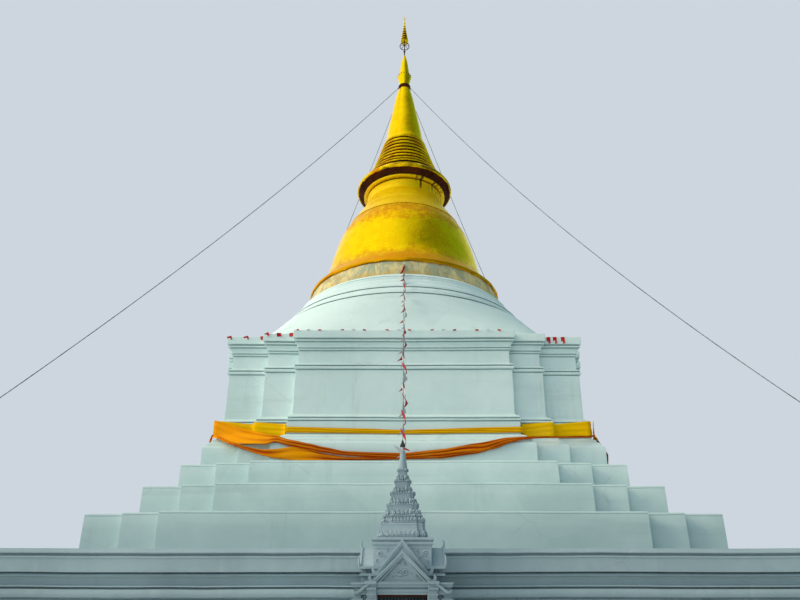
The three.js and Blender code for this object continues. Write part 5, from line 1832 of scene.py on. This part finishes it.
class STUPA_OT_string(bpy.types.Operator):
    """Hangs the string of small flags from the gilded band to the gate's tip"""
    bl_idname = "stupa.string"
    bl_label = "Flag String"

    def execute(self, context):
        s = sizes()
        count = 48
        route = [string_point(k / count) for k in range(count + 1)]
        curve = bpy.data.curves.new("flag_string", "CURVE")
        curve.dimensions = "3D"
        curve.bevel_depth = STRING_RADIUS
        curve.bevel_resolution = 3
        curve.use_fill_caps = True
        spline = curve.splines.new("POLY")
        spline.points.add(count)
        for point, place in zip(spline.points, route):
            point.co = (*place, 1)
        curve.materials.append(finish("string"))
        string = placed("flag_string", curve)
        settle(string, "string", "flag_line")
        length = sum((b - a).length for a, b in zip(route, route[1:]))
        first_flag, flagged, parts = 0.012, 0.965, 60
        hung_part = [string_point(first_flag + flagged * k / parts) for k in range(parts + 1)]
        slope = (STRING_TAIL.z - STRING_HEAD.z) / (STRING_HEAD.y - STRING_TAIL.y)
        for first, shade in enumerate(("red", "white")):
            shape = flag_shape("string_flag", s.flag_width, s.flag_drop, slope, 0.13)
            flags = repeated(
                f"string_flags_{shade}", [(hung_part, False)], shape, "flag_" + shade, s.flag_pitch,
                             every=2, first=first, sway=(0.3, 0.1, 0.4), seed=5 + first)
            settle(flags, "flag_" + shade)
        self.tie()
        return {"FINISHED"}

    def tie(self):
        """The knot where the string is made fast, with two loose ends."""
        place = string_point(0.984)
        lump = profile((0.012, -0.075), (0.058, -0.07), (0.062, -0.05), (0.03, 0.02), (0.008, 0.09))
        knot = Mass().turn(lump, 12, (0, place.y))
        knot.points = [strayed(p + Vector((0, 0, place.z)), 0.01) for p in knot.points]
        settle(knot.piece("string_knot", "ironwork"), "iron")
        front = STRING_TAIL.y - 0.075
        pale = [(-0.02, 4.70), (0.02, 4.775), (-0.06, 4.8), (-0.2, 4.87), (-0.15, 4.79), (-0.09, 4.735)]
        red = [(0.0, 4.79), (0.06, 4.775), (0.16, 4.75), (0.12, 4.79), (0.03, 4.83)]
        ends = (("pale_end", "white", (0.19, 0.07), pale), ("red_end", "red", (0.15, 0.04), red))
        for name, shade, flat, outline in ends:
            cloth = Mass().prism(outline, front, front + 0.004)
            cloth.points = [p + Vector((0, 0.05 * math.sin(9 * p.x), 0)) for p in cloth.points]
            piece = cloth.piece(name, "flag_" + shade)
            settle(piece, "flag_" + shade)


class STUPA_OT_cornice_flags(bpy.types.Operator):
    """Lays the small flags along the cornice's front edge"""
    bl_idname = "stupa.cornice_flags"
    bl_label = "Cornice Flags"

    def execute(self, context):
        reach, clearance = 0.118, 0.012
        front = -(BODY.outer + sum(BODY_BAYS) + reach + clearance)
        near = -(BODY.outer + BODY_BAYS[0] + reach + clearance)
        corner = -(BODY.outer + reach + clearance)
        height = CORNICE_TOP + clearance
        centre = [(-3.75 + 0.25 * k, front, height) for k in range(31)]
        bay = [(-4.9 + 0.1 * k, near, height) for k in range(10)]
        left = [(-6.3 + 0.1 * k, corner, height) for k in range(13)]
        short = flag_shape("short_flag", 0.12, 0.05, 0, 0.02)
        wide = flag_shape("wide_flag", 0.17, 0.14, 0, 0.04)
        rows = (
            ("cornice_flags_red", [(centre, False)], short, "red", 0.38, 2, 0),
            ("cornice_flags_white", [(centre, False)], short, "white", 0.38, 4, 1),
            ("corner_flags_red", [(bay, False), (left, False)], wide, "red", 0.42, 1, 0),
        )
        for name, paths, shape, shade, pitch, every, first in rows:
            flags = repeated(
                name, paths, shape, "flag_" + shade, pitch, every, first, sway=(0.25, 0.35, 0.3),
                seed=first + 21)
            settle(flags, "flag_" + shade)
        hanging = Mass()
        for x in (5.2, 5.43, 5.72):
            one = flag_shape("hanging_flag", 0.14, 0.25, 0, 0.03)
            one.transform(Matrix.Translation((x, corner - 0.004, CORNICE_TOP - 0.02)))
            start = len(hanging.points)
            hanging.points.extend(v.co.copy() for v in one.vertices)
            for polygon in one.polygons:
                hanging.face(tuple(start + i for i in polygon.vertices))
        settle(hanging.piece("hanging_flags", "flag_red"), "flag_red")
        return {"FINISHED"}


class STUPA_PT_pieces(bpy.types.Panel):
    """Lists the pieces in the order they are built"""
    bl_idname = "STUPA_PT_pieces"
    bl_label = "Stupa"
    bl_space_type = "VIEW_3D"
    bl_region_type = "UI"
    bl_category = "Stupa"

    def draw(self, context):
        for group in (context.scene.stupa_sizes, context.scene.stupa_colours):
            box = self.layout.box()
            for name in group.__annotations__:
                box.prop(group, name)
        for operator in OPERATORS:
            self.layout.operator(operator.bl_idname)


OPERATORS = (
    STUPA_OT_stage, STUPA_OT_string, STUPA_OT_terrace, STUPA_OT_steps, STUPA_OT_body, STUPA_OT_roof,
    STUPA_OT_bell,
    STUPA_OT_disc, STUPA_OT_spire, STUPA_OT_finial, STUPA_OT_stays, STUPA_OT_gate, STUPA_OT_gate_spire,
    STUPA_OT_leaves, STUPA_OT_yellow_cloth, STUPA_OT_orange_cloth, STUPA_OT_cornice_flags,
)
CLASSES = (StupaSizes, StupaColours, *OPERATORS, STUPA_PT_pieces)


def register():
    for cls in CLASSES:
        bpy.utils.register_class(cls)
    bpy.types.Scene.stupa_sizes = PointerProperty(type=StupaSizes)
    bpy.types.Scene.stupa_colours = PointerProperty(type=StupaColours)


def unregister():
    del bpy.types.Scene.stupa_colours
    del bpy.types.Scene.stupa_sizes
    for cls in reversed(CLASSES):
        bpy.utils.unregister_class(cls)


def main():
    register()
    for operator in OPERATORS:
        group, name = operator.bl_idname.split(".")
        getattr(getattr(bpy.ops, group), name)()


if __name__ == "__main__":
    main()
